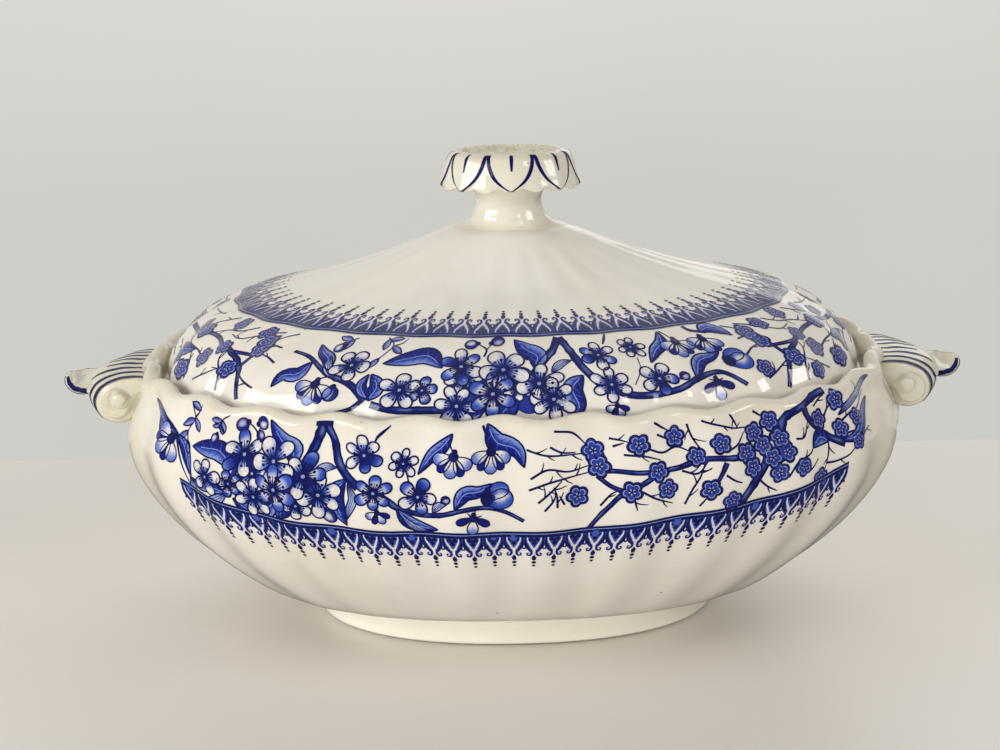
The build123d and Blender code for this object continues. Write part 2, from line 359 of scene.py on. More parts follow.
# Glaze tints: (pale, warm, grey). The foot's tint is lighter than the body's: painted light for the foot,
# which sits in the shade of the bowl above it.
LIT_FOOT_CREAM = ((0.95, 0.91, 0.78), (0.90, 0.85, 0.70), (0.74, 0.68, 0.53))
CREAM = ((0.80, 0.755, 0.675), (0.76, 0.705, 0.605), (0.62, 0.56, 0.46))
KNOB_CREAM = ((0.76, 0.725, 0.62), (0.72, 0.675, 0.555), (0.58, 0.53, 0.41))
DEEP_CREAM = ((0.715, 0.68, 0.555), (0.65, 0.605, 0.455), (0.48, 0.43, 0.30))
# darker yellow of gathered glaze, also used as painted shade in recesses and between parts
GATHERED_AND_SHADE = (0.60, 0.53, 0.34)
SPECK = (0.16, 0.10, 0.05)


def glaze_material(name, cream=CREAM, pools_and_shade=(), specks=150):
    """Its bands are (axis, from, to, strength) in metres, where the glaze gathers deeper and yellower and
    where shade is painted: darker in recesses and between parts.
    """
    mat, tree, shader = node_material(name)
    coords = object_coords(tree)
    colour = glaze_colour(tree, cream, coords, specks)
    split = tree.nodes.new("ShaderNodeSeparateXYZ")
    tree.links.new(coords, split.inputs[0])
    mottle = scale_value(tree, noise(tree, 130, 4, 0.65, coords), 0.35, 0.65, 0.35, 1.0)
    # each band mixes in the darker yellow: deeper glaze and painted shade together
    for axis, low, high, strength in pools_and_shade:
        size = maths(tree, "ABSOLUTE", split.outputs[axis])
        depth = scale_value(tree, size, low, high, 0.0, strength)
        colour = mix(tree, maths(tree, "MULTIPLY", depth, mottle), colour, GATHERED_AND_SHADE)
    tree.links.new(colour, shader.inputs["Base Color"])
    glaze_surface(tree, shader, coords)
    return mat


def sandy_material(name):
    """Pitted, stained top of the flower, where the glaze is thin and grains show."""
    mat, tree, shader = node_material(name)
    coords = object_coords(tree)
    cloud = scale_value(tree, noise(tree, 260, 4, 0.6, coords), 0.3, 0.7)
    colour = mix(tree, cloud, (0.84, 0.79, 0.62), (0.66, 0.61, 0.45))
    grain = scale_value(tree, noise(tree, 1500, 3, 0.7, coords), 0.56, 0.66)
    colour = mix(tree, grain, colour, (0.33, 0.28, 0.20))
    tree.links.new(colour, shader.inputs["Base Color"])
    glaze_surface(tree, shader, coords, 0.0003, 0.00012)
    set_values(shader, {"Roughness": 0.55, "Coat Weight": 0.35})
    return mat


def print_material(name, washed, brushed=False):
    """Cobalt print under the same glaze. washed reads the tone painted on the mesh; brushed
    is the duller line painted by hand on handles and knob."""
    mat, tree, shader = node_material(name)
    coords = object_coords(tree)
    if washed:
        tone = tree.nodes.new("ShaderNodeVertexColor")
        tone.layer_name = "tone"
        stipple = scale_value(tree, noise(tree, 1500, 3, 0.65, coords), 0.32, 0.68)
        grain = mix(tree, stipple, (0.66, 0.70, 0.90), (1.08, 1.06, 1.0))
        colour = mix(tree, 1.0, glaze_colour(tree, CREAM, coords), tone.outputs["Color"], "MULTIPLY")
        colour = mix(tree, 1.0, colour, grain, "MULTIPLY")
    else:
        depth = scale_value(tree, noise(tree, 420, 3, 0.6, coords), 0.35, 0.7)
        colour = mix(tree, depth, (0.002, 0.003, 0.050), (0.007, 0.012, 0.12))
    tree.links.new(colour, shader.inputs["Base Color"])
    glaze_surface(tree, shader, coords)
    if brushed:
        set_values(shader, {"Coat Weight": 0.2})
    return mat


# deeper, yellower glaze and painted shade: under the bowl's lip, in the foot's corner and towards the
# handles
bowl_pools_and_shade = [("Z", 0.0845, 0.0915, 0.5), ("Z", 0.021, 0.011, 0.4), ("X", 0.106, 0.132, 0.6)]
# yellower glaze at the flower's top; deeper glaze and painted shade at the foot of the neck
knob_pools_and_shade = [("Z", 0.1545, 0.1605, 0.6), ("Z", 0.138, 0.134, 0.4)]
glaze_bowl = glaze_material("glaze_bowl", CREAM, bowl_pools_and_shade)
# the lid darkens towards its lower edge, where it sits in the bowl's rim: deeper glaze and painted shade
glaze_lid = glaze_material("glaze_lid", CREAM, [("Z", 0.090, 0.084, 0.35)])
# the foot's glaze is lightened: painted light
glaze_foot_lit = glaze_material("glaze_foot_lit", LIT_FOOT_CREAM)
# the handles darken towards where they join the bowl: deeper glaze and painted shade
glaze_handle = glaze_material("glaze_handle", DEEP_CREAM, [("X", 0.1305, 0.1255, 0.75)], 260)
glaze_knob = glaze_material("glaze_knob", KNOB_CREAM, knob_pools_and_shade, 300)
sandy = sandy_material("sandy_glaze")
ink = print_material("cobalt_ink", False)
wash = print_material("cobalt_wash", True)
brush_ink = print_material("cobalt_brush", False, True)

# ---------------------------------------------------------------- bowl, foot and lid
bowl_shell = Shell(BOWL_ROWS, BOWL_BORDER_ROW)
lid_shell = Shell(LID_ROWS, LID_BORDER_ROW)
# the bowl's border line runs this far above its row, in mm
BOWL_LINE = 4.4


def round_rows(rows, cols, squareness=2.0):
    """Rings of (height, half length, half width) to points."""
    t = np.linspace(0, 2 * math.pi, cols, endpoint=False)
    c, s = np.cos(t), np.sin(t)
    x = np.sign(c) * np.abs(c) ** (2 / squareness)
    y = np.sign(s) * np.abs(s) ** (2 / squareness)
    return np.array([np.stack([a * x, b * y, np.full(cols, z)], -1) for z, a, b in rows])


shell_object("bowl_body", bowl_shell, BOWL_ROWS, "bowl", glaze_bowl, ["bowl"])
shell_object("lid_cover", lid_shell, LID_ROWS, "lid", glaze_lid, ["lid"])

FOOT_COLUMNS = 384
FOOT_SQUARENESS = 2.2
# (height, half length, half width), from inside the ring over its standing edge to the bowl
FOOT_ROWS = [
    (8.2, 61.0, 42.0), (4.0, 61.4, 42.4), (0.7, 61.9, 42.9), (0.1, 62.8, 43.8), (0.0, 64.5, 45.2),
    (0.0, 67.6, 47.5), (0.25, 69.0, 48.8), (1.0, 69.7, 49.5), (3.0, 69.6, 49.4), (6.0, 69.0, 48.9),
    (8.0, 68.7, 48.6), (8.9, 68.9, 48.8), (9.5, 69.8, 49.5), (10.2, 72.8, 51.8), (11.0, 75.0, 53.4),
]
foot_curve = smooth_curve(FOOT_ROWS, 0.6)
foot = round_rows(foot_curve[:, :3], FOOT_COLUMNS, FOOT_SQUARENESS)
angle = np.linspace(0, 2 * math.pi, FOOT_COLUMNS, endpoint=False)
# the upper edge, wiped by hand, is a little uneven
hand = 0.16 * np.sin(5 * angle + 1.0) + 0.1 * np.sin(11 * angle)
rising = np.clip((foot_curve[:, 0] - 5.0) / 4.0, 0, 1)[:, None]
foot[:, :, 2] += hand[None, :] * rising
make_object("foot_oval", foot.reshape(-1, 3), grid_faces(len(foot_curve), FOOT_COLUMNS), "bowl",
            glaze_foot_lit, ["foot_ring"])

# ---------------------------------------------------------------- knob
NECK_COLUMNS = 160
neck_rows = smooth_curve([
    (132.6, 21.5, 20.5), (133.9, 20.0, 19.2), (134.7, 18.2, 17.6), (135.3, 16.6, 16.2), (136.6, 14.4, 14.2),
    (139.6, 12.0, 12.0), (143.4, 11.2, 11.2), (146.4, 12.0, 12.0), (148.6, 13.8, 13.8), (150.4, 15.4, 15.4),
], 0.5)
neck = round_rows(neck_rows[:, :3], NECK_COLUMNS)
neck_turn = np.linspace(0, 2 * math.pi, NECK_COLUMNS, endpoint=False)
# the clay that joins neck and lid bulges a little unevenly
collar = np.exp(-((neck_rows[:, 0] - 134.4) / 0.7) ** 2)[:, None]
swell = 1 + collar * (0.018 * np.sin(2 * neck_turn + 0.6) + 0.012 * np.sin(5 * neck_turn))[None, :]
neck[:, :, :2] *= swell[:, :, None]
neck[:, :, 1] *= np.interp(neck_rows[:, 0], [133.5, 139.0], [0.80, 0.97])[:, None]
make_object("knob_stem", neck.reshape(-1, 3), grid_faces(len(neck_rows), NECK_COLUMNS), "lid", glaze_knob,
            ["knob_neck"])

CROWN_PETALS = 8
# (height, radius) down the outside of the flower, from its top ring to the petal tips
CROWN_SIDE = [(160.3, 18.2), (160.1, 19.2), (159.1, 20.1), (157.0, 20.9), (154.2, 21.6), (151.5, 22.2),
              (149.5, 22.7), (148.6, 22.6)]
CROWN_X = 0.6        # the flower sits a little off the middle
CROWN_LEVEL = 154.0  # height that it leans about
CROWN_LEAN = 2.6     # degrees


def seat_crown(points):
    """The hand-set flower is a little oval and leans back by a couple of degrees."""
    x, y, z = np.moveaxis(np.asarray(points, float), -1, 0)
    lean = math.radians(CROWN_LEAN)
    y = y * 0.91
    return np.stack([x + CROWN_X, y * math.cos(lean) + (z - CROWN_LEVEL) * math.sin(lean),
                     z - y * math.sin(lean)], -1)


def petal_reach(h):
    """Half width of an outer petal, as a share of its sector, at h (0 its root, 1 its tip)."""
    return 0.5 * np.clip(1 - np.clip(h, 0, 1) ** 2.3, 0.0, 1) ** 0.72


def crown_point(turn, h, lift=0.0):
    """A point of the flower's outside: turn 0..1 round it, h 0 at the top ring, 1 at the tips."""
    turn, h, lift = np.broadcast_arrays(np.asarray(turn, float), np.asarray(h, float),
                                        np.asarray(lift, float))
    side = smooth_curve([(z, r, r) for z, r in CROWN_SIDE], 0.2)
    run = np.linspace(0, 1, len(side))
    z = np.interp(h, run, side[:, 0])
    r = np.interp(h, run, side[:, 1])
    p = (turn * CROWN_PETALS + 0.5) % 1.0 - 0.5
    width = petal_reach(h) + 0.012
    inside = 1 / (1 + np.exp(-np.clip((width - np.abs(p)) / 0.014, -40, 40)))
    bow = 1 - np.clip(np.abs(p) / width, 0, 1) ** 2
    outer = 0.75 + 0.45 * bow
    inner = 0.85 * np.clip(1 - ((np.abs(p) - 0.5) / 0.32) ** 2, 0, 1) - 0.2
    grow = np.clip(h * 6, 0, 1)
    r = r + grow * (inside * outer + (1 - inside) * inner) * (0.55 + 0.45 * h) + lift
    tips = np.clip((h - 0.72) / 0.28, 0, 1) ** 2
    lobes = 0.5 + 0.5 * np.cos(4 * math.pi * CROWN_PETALS * turn)
    z = z + tips * (0.8 - 1.2 * lobes ** 0.7) + 0.22 * np.sin(2 * math.pi * turn * 3 + 1) * h
    a = 2 * math.pi * turn - math.pi / 2
    return seat_crown(np.stack([r * np.cos(a), r * np.sin(a), z], -1))


CROWN_COLUMNS = 640
turns = np.arange(CROWN_COLUMNS) / CROWN_COLUMNS
outside = crown_point(turns[None, :], np.linspace(0, 1, 72)[:, None])
around = 2 * math.pi * turns - math.pi / 2
# (radius, height, roughness) over the pitted dish and up its lip
DISH_ROWS = [(0.5, 158.6, 0.0), (3.0, 158.6, 0.1), (6.0, 158.6, 0.14), (8.0, 158.7, 0.16),
             (10.4, 158.7, 0.18), (12.2, 158.8, 0.18), (13.9, 159.0, 0.2), (15.2, 159.4, 0.22),
             (16.2, 160.1, 0.22), (17.0, 160.5, 0.2), (17.8, 160.5, 0.12)]
top_rings = []
for r, z, rough in DISH_ROWS:
    coarse = np.sin(turns * 2 * math.pi * 23 + r * 3) * np.sin(turns * 2 * math.pi * 9 + r)
    wob = rough * (coarse + 0.5 * np.sin(turns * 2 * math.pi * 41 + r * 5))
    top_rings.append(seat_crown(np.stack([r * np.cos(around), r * np.sin(around), z + wob], -1)))
# (share of the tips' radius, lift in mm) inwards over the flower's underside
UNDER_ROWS = [(0.985, -0.28), (0.95, -0.30), (0.90, 0.1), (0.82, 0.9), (0.72, 1.5), (0.62, 1.7), (0.5, 1.5)]
TIP_LEVEL = 148.4
under_rings = []
last = outside[-1]
for k, (shrink, lift) in enumerate(UNDER_ROWS):
    ring = last.copy()
    ring[:, :2] = (ring[:, :2] - (CROWN_X, 0)) * shrink + (CROWN_X, 0)
    level = TIP_LEVEL + (last[:, 2] - TIP_LEVEL) * (1 - k / len(UNDER_ROWS))
    ring[:, 2] = level + lift
    under_rings.append(ring)
crown = np.concatenate([np.array(top_rings[-2:]), outside, np.array(under_rings)])
make_object("knob_flower", crown.reshape(-1, 3), grid_faces(len(crown), CROWN_COLUMNS), "lid", glaze_knob,
            ["knob_crown"])
dish = np.array(top_rings[:-1])
dish_faces = grid_faces(len(dish), CROWN_COLUMNS)
dish_faces.append(list(range(CROWN_COLUMNS)))
make_object("knob_dish", dish.reshape(-1, 3), dish_faces, "lid", sandy)

# ---------------------------------------------------------------- handles
# Written for the right handle, as (x, z): the strap's outside, the scroll's middle and the tip leaf.
HALF_WIDTH = 20.0
EDGE_ROUND = 1.6
SCROLL = (134.8, 79.6)
ARCH = [(122.6, 87.0), (124.6, 88.0), (127.6, 88.5), (131.0, 88.4), (134.6, 87.7), (138.0, 86.3),
        (140.4, 84.5), (142.0, 82.2), (142.7, 79.6), (142.2, 76.6), (140.4, 73.9), (137.4, 72.2),
        (134.0, 71.8), (131.0, 72.8), (128.6, 74.8), (126.8, 76.8)]
arch_path = smooth_curve([(z, x, x) for x, z in ARCH], 0.4)[:, [1, 0]]
arch_run = np.concatenate([[0.0], np.cumsum(np.hypot(*np.diff(arch_path, axis=0).T))])


def handle_point(w, y, lift=0.0):
    """Outer surface of the right handle's strap: w mm along the arch, y mm across."""
    w, y, lift = np.broadcast_arrays(np.asarray(w, float), np.asarray(y, float), np.asarray(lift, float))

    def at(v):
        return np.stack([np.interp(v, arch_run, arch_path[:, 0]), np.interp(v, arch_run, arch_path[:, 1])])

    t = at(w + 0.4) - at(w - 0.4)
    t /= np.hypot(*t) + 1e-9
    x, z = at(w)
    q = np.abs(y) / HALF_WIDTH
    # the middle of the strap runs further out, towards the leaf
    share = np.interp(w, [0, 8, 15, 18, 21, 24, 28, 34], [0, 0.06, 0.3, 0.5, 0.8, 1.0, 0.7, 0.0])
    bulge = 6.4 * np.clip(1 - q ** 1.5, 0, 1) * share
    out = lift + bulge - 0.4 * q ** 4
    return np.stack([x - t[1] * out, y, z + t[0] * out], -1)


def scroll_relief(x, z):
    """How far the end of the scroll stands out of the handle's side."""
    r = np.hypot(x - SCROLL[0] - 0.9, z - SCROLL[1] + 0.3)
    disc = np.clip((6.0 - r) / 1.5, 0, 1)
    disc = 1.7 * disc * disc * (3 - 2 * disc)
    re = np.hypot(x - SCROLL[0] + 1.1, z - SCROLL[1] - 1.1)
    eye = 1.7 * np.sqrt(np.clip(1 - (re / 2.9) ** 2, 0, 1))
    groove = -0.35 * np.exp(-((re - 3.4) / 0.6) ** 2)
    hollow = -1.6 * np.exp(-(((x - 128.6) / 2.2) ** 2 + ((z - 78.6) / 3.2) ** 2))
    return disc + eye + groove + hollow


LEAF = [(138.5, 82.0), (142.6, 82.0), (146.6, 81.2), (150.0, 80.4), (152.8, 81.0), (154.6, 82.8),
        (155.2, 84.9)]
leaf_path = smooth_curve([(z, x, x) for x, z in LEAF], 0.3)[:, [1, 0]]
leaf_run = np.linspace(0, 1, len(leaf_path))


def leaf_point(s, turn, lift=0.0):
    """Surface of the curled tip leaf: s 0..1 to the tip, turn round its section."""
    s, turn, lift = np.broadcast_arrays(np.asarray(s, float), np.asarray(turn, float),
                                        np.asarray(lift, float))
    x = np.interp(s, leaf_run, leaf_path[:, 0])
    z = np.interp(s, leaf_run, leaf_path[:, 1])
    ahead = np.stack([np.interp(s + 0.03, leaf_run, leaf_path[:, c]) for c in (0, 1)])
    back = np.stack([np.interp(s - 0.03, leaf_run, leaf_path[:, c]) for c in (0, 1)])
    t = ahead - back
    t /= np.hypot(*t)
    half = np.interp(s, [0, 0.25, 0.45, 0.65, 0.8, 0.9, 0.96, 0.99, 1.0],
                     [13.0, 11.6, 10.2, 9.0, 7.6, 5.9, 4.0, 2.2, 0.5])
    thick = np.interp(s, [0, 0.5, 0.9, 0.98, 1.0], [2.4, 2.2, 1.8, 1.2, 0.4])
    c, n = np.cos(turn), np.sin(turn)
    across = half * c + lift * c
    cupped = np.interp(s, [0, 0.3, 0.6, 0.85, 1], [0.0, 0.1, 1, 0.7, 0.1])
    up = thick * n + 2.6 * c * c * cupped + lift * n
    return np.stack([x - t[1] * up, across, z + t[0] * up + 0.12 * across], -1)


LEAF_ROWS = 60
LEAF_COLUMNS = 72


def handle_object(name, side, node):
    """A handle: strap and scroll as one skin, with the tip leaf; side -1 mirrors it to the left."""
    w = np.linspace(0, arch_run[-1], 170)
    flat = HALF_WIDTH - EDGE_ROUND
    rows = [(y, 0.0) for y in np.linspace(-flat, flat, 34)]
    for v in np.linspace(0.15, 1.0, 6) * math.pi / 2:
        rows.append((flat + EDGE_ROUND * math.sin(v), -EDGE_ROUND * (1 - math.cos(v))))
        rows.insert(0, (-rows[-1][0], rows[-1][1]))
    band = np.array([handle_point(w, y, lift) for y, lift in rows])
    for sign, edge in ((-1, band[0]), (1, band[-1])):
        rings = []
        for k in np.linspace(1, 0.0, 44) ** 0.9:
            x = SCROLL[0] + (edge[:, 0] - SCROLL[0]) * k
            z = SCROLL[1] + (edge[:, 2] - SCROLL[1]) * k
            blend = np.clip((1 - k) / 0.12, 0, 1)
            y = edge[:, 1] + sign * blend * scroll_relief(x, z)
            rings.append(np.stack([x, y, z], -1))
        end = np.array(rings[1:])
        band = np.concatenate([end[::-1], band] if sign < 0 else [band, end])
    base = len(band) * len(w)
    faces = grid_faces(len(band), len(w))
    s = np.linspace(0, 1, LEAF_ROWS)
    turn = np.linspace(0, 2 * math.pi, LEAF_COLUMNS, endpoint=False)
    tip = leaf_point(s[:, None], turn[None, :])
    faces += grid_faces(LEAF_ROWS, LEAF_COLUMNS, base=base)
    faces.append([base + (LEAF_ROWS - 1) * LEAF_COLUMNS + i for i in range(LEAF_COLUMNS)])
    points = np.concatenate([band.reshape(-1, 3), tip.reshape(-1, 3)])
    points[:, 0] *= side
    make_object(name, points, faces, "bowl", glaze_handle, [node])


handle_object("handle_scroll_right", 1, "handle_right")
handle_object("handle_scroll_left", -1, "handle_left")

# ---------------------------------------------------------------- printed decoration
# Tones are multiplied with the glaze's own colour; (1, 1, 1) leaves it bare.
BARE = (1.0, 1.0, 1.0)
PALE = (0.34, 0.47, 0.96)
MID = (0.045, 0.115, 0.66)
DEEP = (0.008, 0.016, 0.30)
NAVY = (0.004, 0.006, 0.13)


def blend_tone(a, b, f):
    """Tone f of the way from a to b, for every value of f."""
    f = np.clip(np.asarray(f, float), 0, 1)[..., None]
    return np.asarray(a) * (1 - f) + np.asarray(b) * f


def through(points, step):
    """Even points along a smooth line through the given ones."""
    p = np.array(points, float)
    if len(p) > 2:
        p = np.vstack([2 * p[0] - p[1], p, 2 * p[-1] - p[-2]])
        t = np.linspace(0, 1, 9)[:-1, None]
        parts = []
        for i in range(1, len(p) - 2):
            a, b, c, d = p[i - 1:i + 3]
            bend = (2 * a - 5 * b + 4 * c - d) * t ** 2 + (3 * b - a - 3 * c + d) * t ** 3
            parts.append(b + 0.5 * ((c - a) * t + bend))
        p = np.concatenate(parts + [p[-2][None]])
    run = np.concatenate([[0.0], np.cumsum(np.hypot(*np.diff(p, axis=0).T))])
    count = max(2, math.ceil(run[-1] / step) + 1)
    w = np.linspace(0, run[-1], count)
    return np.stack([np.interp(w, run, p[:, 0]), np.interp(w, run, p[:, 1])], -1)


def sideways(line):
    """Unit vectors to the left of a line, at each of its points."""
    t = np.gradient(line, axis=0)
    t /= np.hypot(*t.T)[:, None] + 1e-9
    return np.stack([-t[:, 1], t[:, 0]], -1)


def ribbon(line, half):
    """A line as a band: half is its half width, one number or one for each point."""
    side = sideways(line) * np.reshape(half, (-1, 1))
    return np.stack([line - side, line + side], 1)


# How far the print stands above the glaze, in mm: its lowest layer, one layer more, and the
# little more of a stroke or a dot over the wash of its own layer.
PRINT_LIFT = 0.035
LAYER = 0.045
INK_OVER = 0.022
WASH_LINE_OVER = 0.008
INK_DOT_OVER = 0.024
WASH_DOT_OVER = 0.01


def layer_lift(order):
    """Height of a layer of the print; a higher order lies on top."""
    return PRINT_LIFT + LAYER * order


class Print:
    """Flat drawing in mm that is laid on a surface: place(x, y, lift) gives the points in 3-D."""

    def __init__(self, place, step=0.9):
        self.place = place
        self.step = step
        self.shift = 0.0
        self.parts = {"ink": [[], [], []], "wash": [[], [], []]}
        self.counts = {"ink": 0, "wash": 0}

    def add(self, kind, grid, lift, tone=None):
        """A grid of flat points, lift mm above the surface."""
        rows, cols, _ = grid.shape
        points, faces, tones = self.parts[kind]
        flat = grid.reshape(-1, 2) + (self.shift, 0.0)
        points.append(np.column_stack([flat, np.full(len(flat), lift)]))
        faces += grid_faces(rows, cols, closed=False, base=self.counts[kind])
        self.counts[kind] += len(flat)
        if kind == "wash":
            tones.append(np.broadcast_to(tone, (rows, cols, 3)).reshape(-1, 3))

    def stamp(self, other, dx):
        """Repeat another drawing dx further along."""
        for kind, (points, faces, tones) in other.parts.items():
            if not points:
                continue
            flat = np.concatenate(points) + (dx, 0.0, 0.0)
            self.parts[kind][0].append(flat)
            self.parts[kind][1] += (np.array(faces) + self.counts[kind]).tolist()
            self.parts[kind][2] += tones
            self.counts[kind] += len(flat)

    def line(self, points, width, order=0, kind="ink", tone=None):
        """A stroke. width is one number, or the widths along it."""
        path = through(points, self.step)
        w = np.interp(np.linspace(0, 1, len(path)), np.linspace(0, 1, np.size(width)), np.atleast_1d(width))
        over = INK_OVER if kind == "ink" else WASH_LINE_OVER
        self.add(kind, ribbon(path, w / 2), layer_lift(order) + over, tone)

    def shape(self, axis, half, tone, order=0, cols=6, outline=0.42, fine=0.0):
        """A leaf or petal along its axis. half(t) is its half width, tone(t, q) its colour, with t
        0 to 1 along it and q -1 to 1 across."""
        path = through(axis, self.step * 0.4)
        count = max(10, len(path) // 2 + 4)
        t = 0.5 - 0.5 * np.cos(np.linspace(0, math.pi, count))
        path = np.stack([np.interp(t, np.linspace(0, 1, len(path)), path[:, c]) for c in (0, 1)], -1)
        q = np.linspace(-1, 1, cols + 1)
        h = half(t)
        side = sideways(path)
        grid = path[:, None, :] + side[:, None, :] * (h[:, None] * q[None, :])[..., None]
        colour = tone(t[:, None] + 0 * q[None, :], q[None, :] + 0 * t[:, None])
        self.add("wash", grid, layer_lift(order) + fine, colour)
        if outline:
            rim = np.concatenate([grid[:, 0], grid[::-1, -1], grid[:1, 0]])
            keep = np.concatenate([[True], np.hypot(*np.diff(rim, axis=0).T) > 0.05])
            self.add("ink", ribbon(rim[keep], outline / 2), layer_lift(order) + INK_OVER)

    def spot(self, x, y, r, order=0, kind="ink", tone=None, squash=1.0, turn=0.0):
        """A filled dot, round or oval."""
        a = np.linspace(0, 2 * math.pi, max(9, int(r * 8) + 6))
        edge = np.stack([np.cos(a) * r, np.sin(a) * r * squash], -1)
        spin = np.array([[math.cos(turn), -math.sin(turn)], [math.sin(turn), math.cos(turn)]])
        edge = edge @ spin.T + (x, y)
        rings = [np.full_like(edge, 0) + (x, y)]
        count = max(1, math.ceil(r / self.step))
        for k in range(1, count + 1):
            rings.append((x, y) + (edge - (x, y)) * k / count)
        over = INK_DOT_OVER if kind == "ink" else WASH_DOT_OVER
        self.add(kind, np.stack(rings), layer_lift(order) + over, tone)

    def finish(self, name, body):
        """Lay the drawing on its surface, as one piece of ink and one of wash."""
        for kind, material in (("ink", ink), ("wash", wash)):
            points, faces, tones = self.parts[kind]
            if not points:
                continue
            laid = self.place(*np.concatenate(points).T)
            obj = make_object(f"{name}_{kind}", laid, faces, body, material)
            if kind == "wash":
                layer = obj.data.color_attributes.new("tone", "FLOAT_COLOR", "POINT")
                rgba = np.column_stack([np.concatenate(tones), np.ones(len(laid))])
                layer.data.foreach_set("color", rgba.ravel().astype(np.float32))


def petal_half(width, base, widest):
    """Half width along a petal: base at its root, full at widest, round at its tip."""
    def half(t):
        low = base + (1 - base) * np.sin(np.clip(t / widest, 0, 1) * math.pi / 2) ** 1.1
        high = np.sqrt(np.clip(1 - ((t - widest) / (1 - widest)) ** 2, 0, 1))
        return width * np.where(t < widest, low, high) + 0.02
    return half


def leaf_half(width, widest=0.42):
    """Half width along a leaf, pointed at both ends."""
    def half(t):
        f = np.where(t < widest, t / widest * 0.5, 0.5 + (t - widest) / (1 - widest) * 0.5)
        return width * np.sin(math.pi * f) ** 0.85 + 0.03
    return half


def polar(x, y, angle, r):
    """The point r away from (x, y), in the direction angle."""
    return (x + r * math.cos(angle), y + r * math.sin(angle))


def blossom(art, x, y, r, petals, turn, style, rng, order=2):
    """An open prunus blossom: shaded petals, veins, stamens and an eye."""
    for i in range(petals):
        a = math.radians(turn) + 2 * math.pi * i / petals + rng.uniform(-0.1, 0.1)
        length = r * rng.uniform(0.88, 1.06)
        wide = r * (1.36 / petals + 0.04) * rng.uniform(0.86, 1.08)
        start = polar(x, y, a, 0.08 * r)
        bend = polar(x, y, a + rng.uniform(-0.1, 0.1), 0.55 * length)
        stop = polar(x, y, a, length)
        lit = rng.uniform(-1, 1)
        kind = rng.choice(["tip", "edge", "tip", "dark"]) if style == "mixed" else style

        def tone(t, q, kind=kind, lit=lit):
            if kind == "dark":
                c = blend_tone(NAVY, DEEP, t * 1.5)
                c = blend_tone(c, MID, (t - 0.35) * 1.6 + 0.3 * lit * q)
                return blend_tone(c, PALE, (t - 0.72) * 2.4)
            if kind == "tip":
                c = blend_tone(DEEP, MID, t * 4)
                c = blend_tone(c, PALE, (t - 0.22) / 0.22)
                c = blend_tone(c, BARE, (t - 0.38 - 0.12 * lit * q) / 0.22)
                side = np.clip((np.abs(q + 0.25 * lit) - 0.45) * 1.8, 0, 1) * np.clip(1.25 - t, 0, 1)
                return blend_tone(c, MID, side * 0.85)
            c = blend_tone(DEEP, BARE, (t - 0.16) / 0.26)
            edge = np.clip((t - 0.38) / 0.45, 0, 1) * (0.85 + 0.4 * lit * q)
            edge = edge + np.clip(np.abs(q) - 0.5, 0, 1) * 0.6
            c = blend_tone(c, PALE, edge * 1.6)
            return blend_tone(c, MID, (edge - 0.3) * 2.2)

        art.shape([start, bend, stop], petal_half(wide, 0.16, 0.68), tone, order, 6, 0.58, 0.004 * (i % 2))
        for off in (-0.45, 0.0, 0.45):
            way = a + off * 0.6
            reach = (0.30 if off else 0.40) * length
            stamen = [polar(x, y, way, 0.16 * r), polar(x, y, way, 0.16 * r + reach)]
            art.line(stamen, [0.44, 0.28], order + 0.1)
            if off:
                art.spot(*polar(x, y, way, 0.2 * r + reach), max(0.065 * r, 0.34), order + 0.15)
    art.spot(x, y, 0.16 * r, order + 0.1)
    art.spot(x, y, 0.075 * r, order + 0.75, "wash", PALE)


# dots of a small blossom's petals, from below: (distance out, radius, kind, tone), as shares of its size
PETAL_DOTS = ((0.54, 0.48, "ink", None), (0.54, 0.39, "wash", blend_tone(DEEP, MID, 0.55)),
              (0.48, 0.28, "wash", blend_tone(MID, BARE, 0.42)),
              (0.45, 0.235, "wash", blend_tone(DEEP, MID, 0.5)))
RAY = blend_tone(MID, BARE, 0.7)


def small_blossom(art, x, y, r, turn, order=2):
    """A small solid blossom with scalloped petals and a pale rayed middle."""
    for ring, (reach, size, kind, tone) in enumerate(PETAL_DOTS):
        for i in range(5):
            a = math.radians(turn) + 2 * math.pi * i / 5
            art.spot(*polar(x, y, a, reach * r), size * r, order + 0.3 * ring, kind, tone)
    for i in range(5):
        a = math.radians(turn) + 2 * math.pi * (i + 0.5) / 5
        art.line([(x, y), polar(x, y, a, 0.66 * r)], [0.5, 0.25], order + 0.9)
        art.line([(x, y), polar(x, y, a + 0.63, 0.3 * r)], 0.22, order + 1.0, "wash", RAY)
    art.spot(x, y, 0.12 * r, order + 1.05)


def leaf(art, points, width, order=1, dark=1, tip=0.0):
    """A shaded leaf: its dark half on the side that dark (1 or -1) says, the tip bare beyond tip."""
    def tone(t, q):
        s = q * dark
        c = blend_tone(DEEP, MID, (s + 0.25) * 1.4)
        lit = np.clip((s - 0.25) * 1.6, 0, 1) * np.clip(1.25 - np.abs(t - 0.45) * 1.7, 0, 1)
        c = blend_tone(c, PALE, lit)
        c = blend_tone(c, NAVY, np.clip(-s * 0.9 - 0.15, 0, 1) * np.clip(1.1 - t * 0.7, 0, 1))
        if tip:
            c = blend_tone(c, BARE, (t - tip) * 3)
        return c
    art.shape(points, leaf_half(width), tone, order, 8, 0.6)
    path = through(points, art.step)
    if len(path) > 7 and width > 1.6:
        side = sideways(path)
        for k in range(4):
            j = int(len(path) * (0.2 + 0.16 * k))
            reach = width * (0.72, 0.8, 0.66, 0.45)[k]
            for flank in (1, -1):
                stop = path[j] + side[j] * flank * reach + (path[j + 1] - path[j]) * 1.6
                bend = (path[j] + stop) / 2 + side[j] * flank * 0.1
                vein = DEEP if flank == dark else MID
                art.line([path[j], bend, stop], [0.3, 0.24, 0.12], order + 0.3, "wash", vein)
    a, b = int(len(path) * 0.12), int(len(path) * 0.86)
    if b - a > 2:
        art.line(path[a:b:2], 0.24, order + 0.6, "wash", PALE)


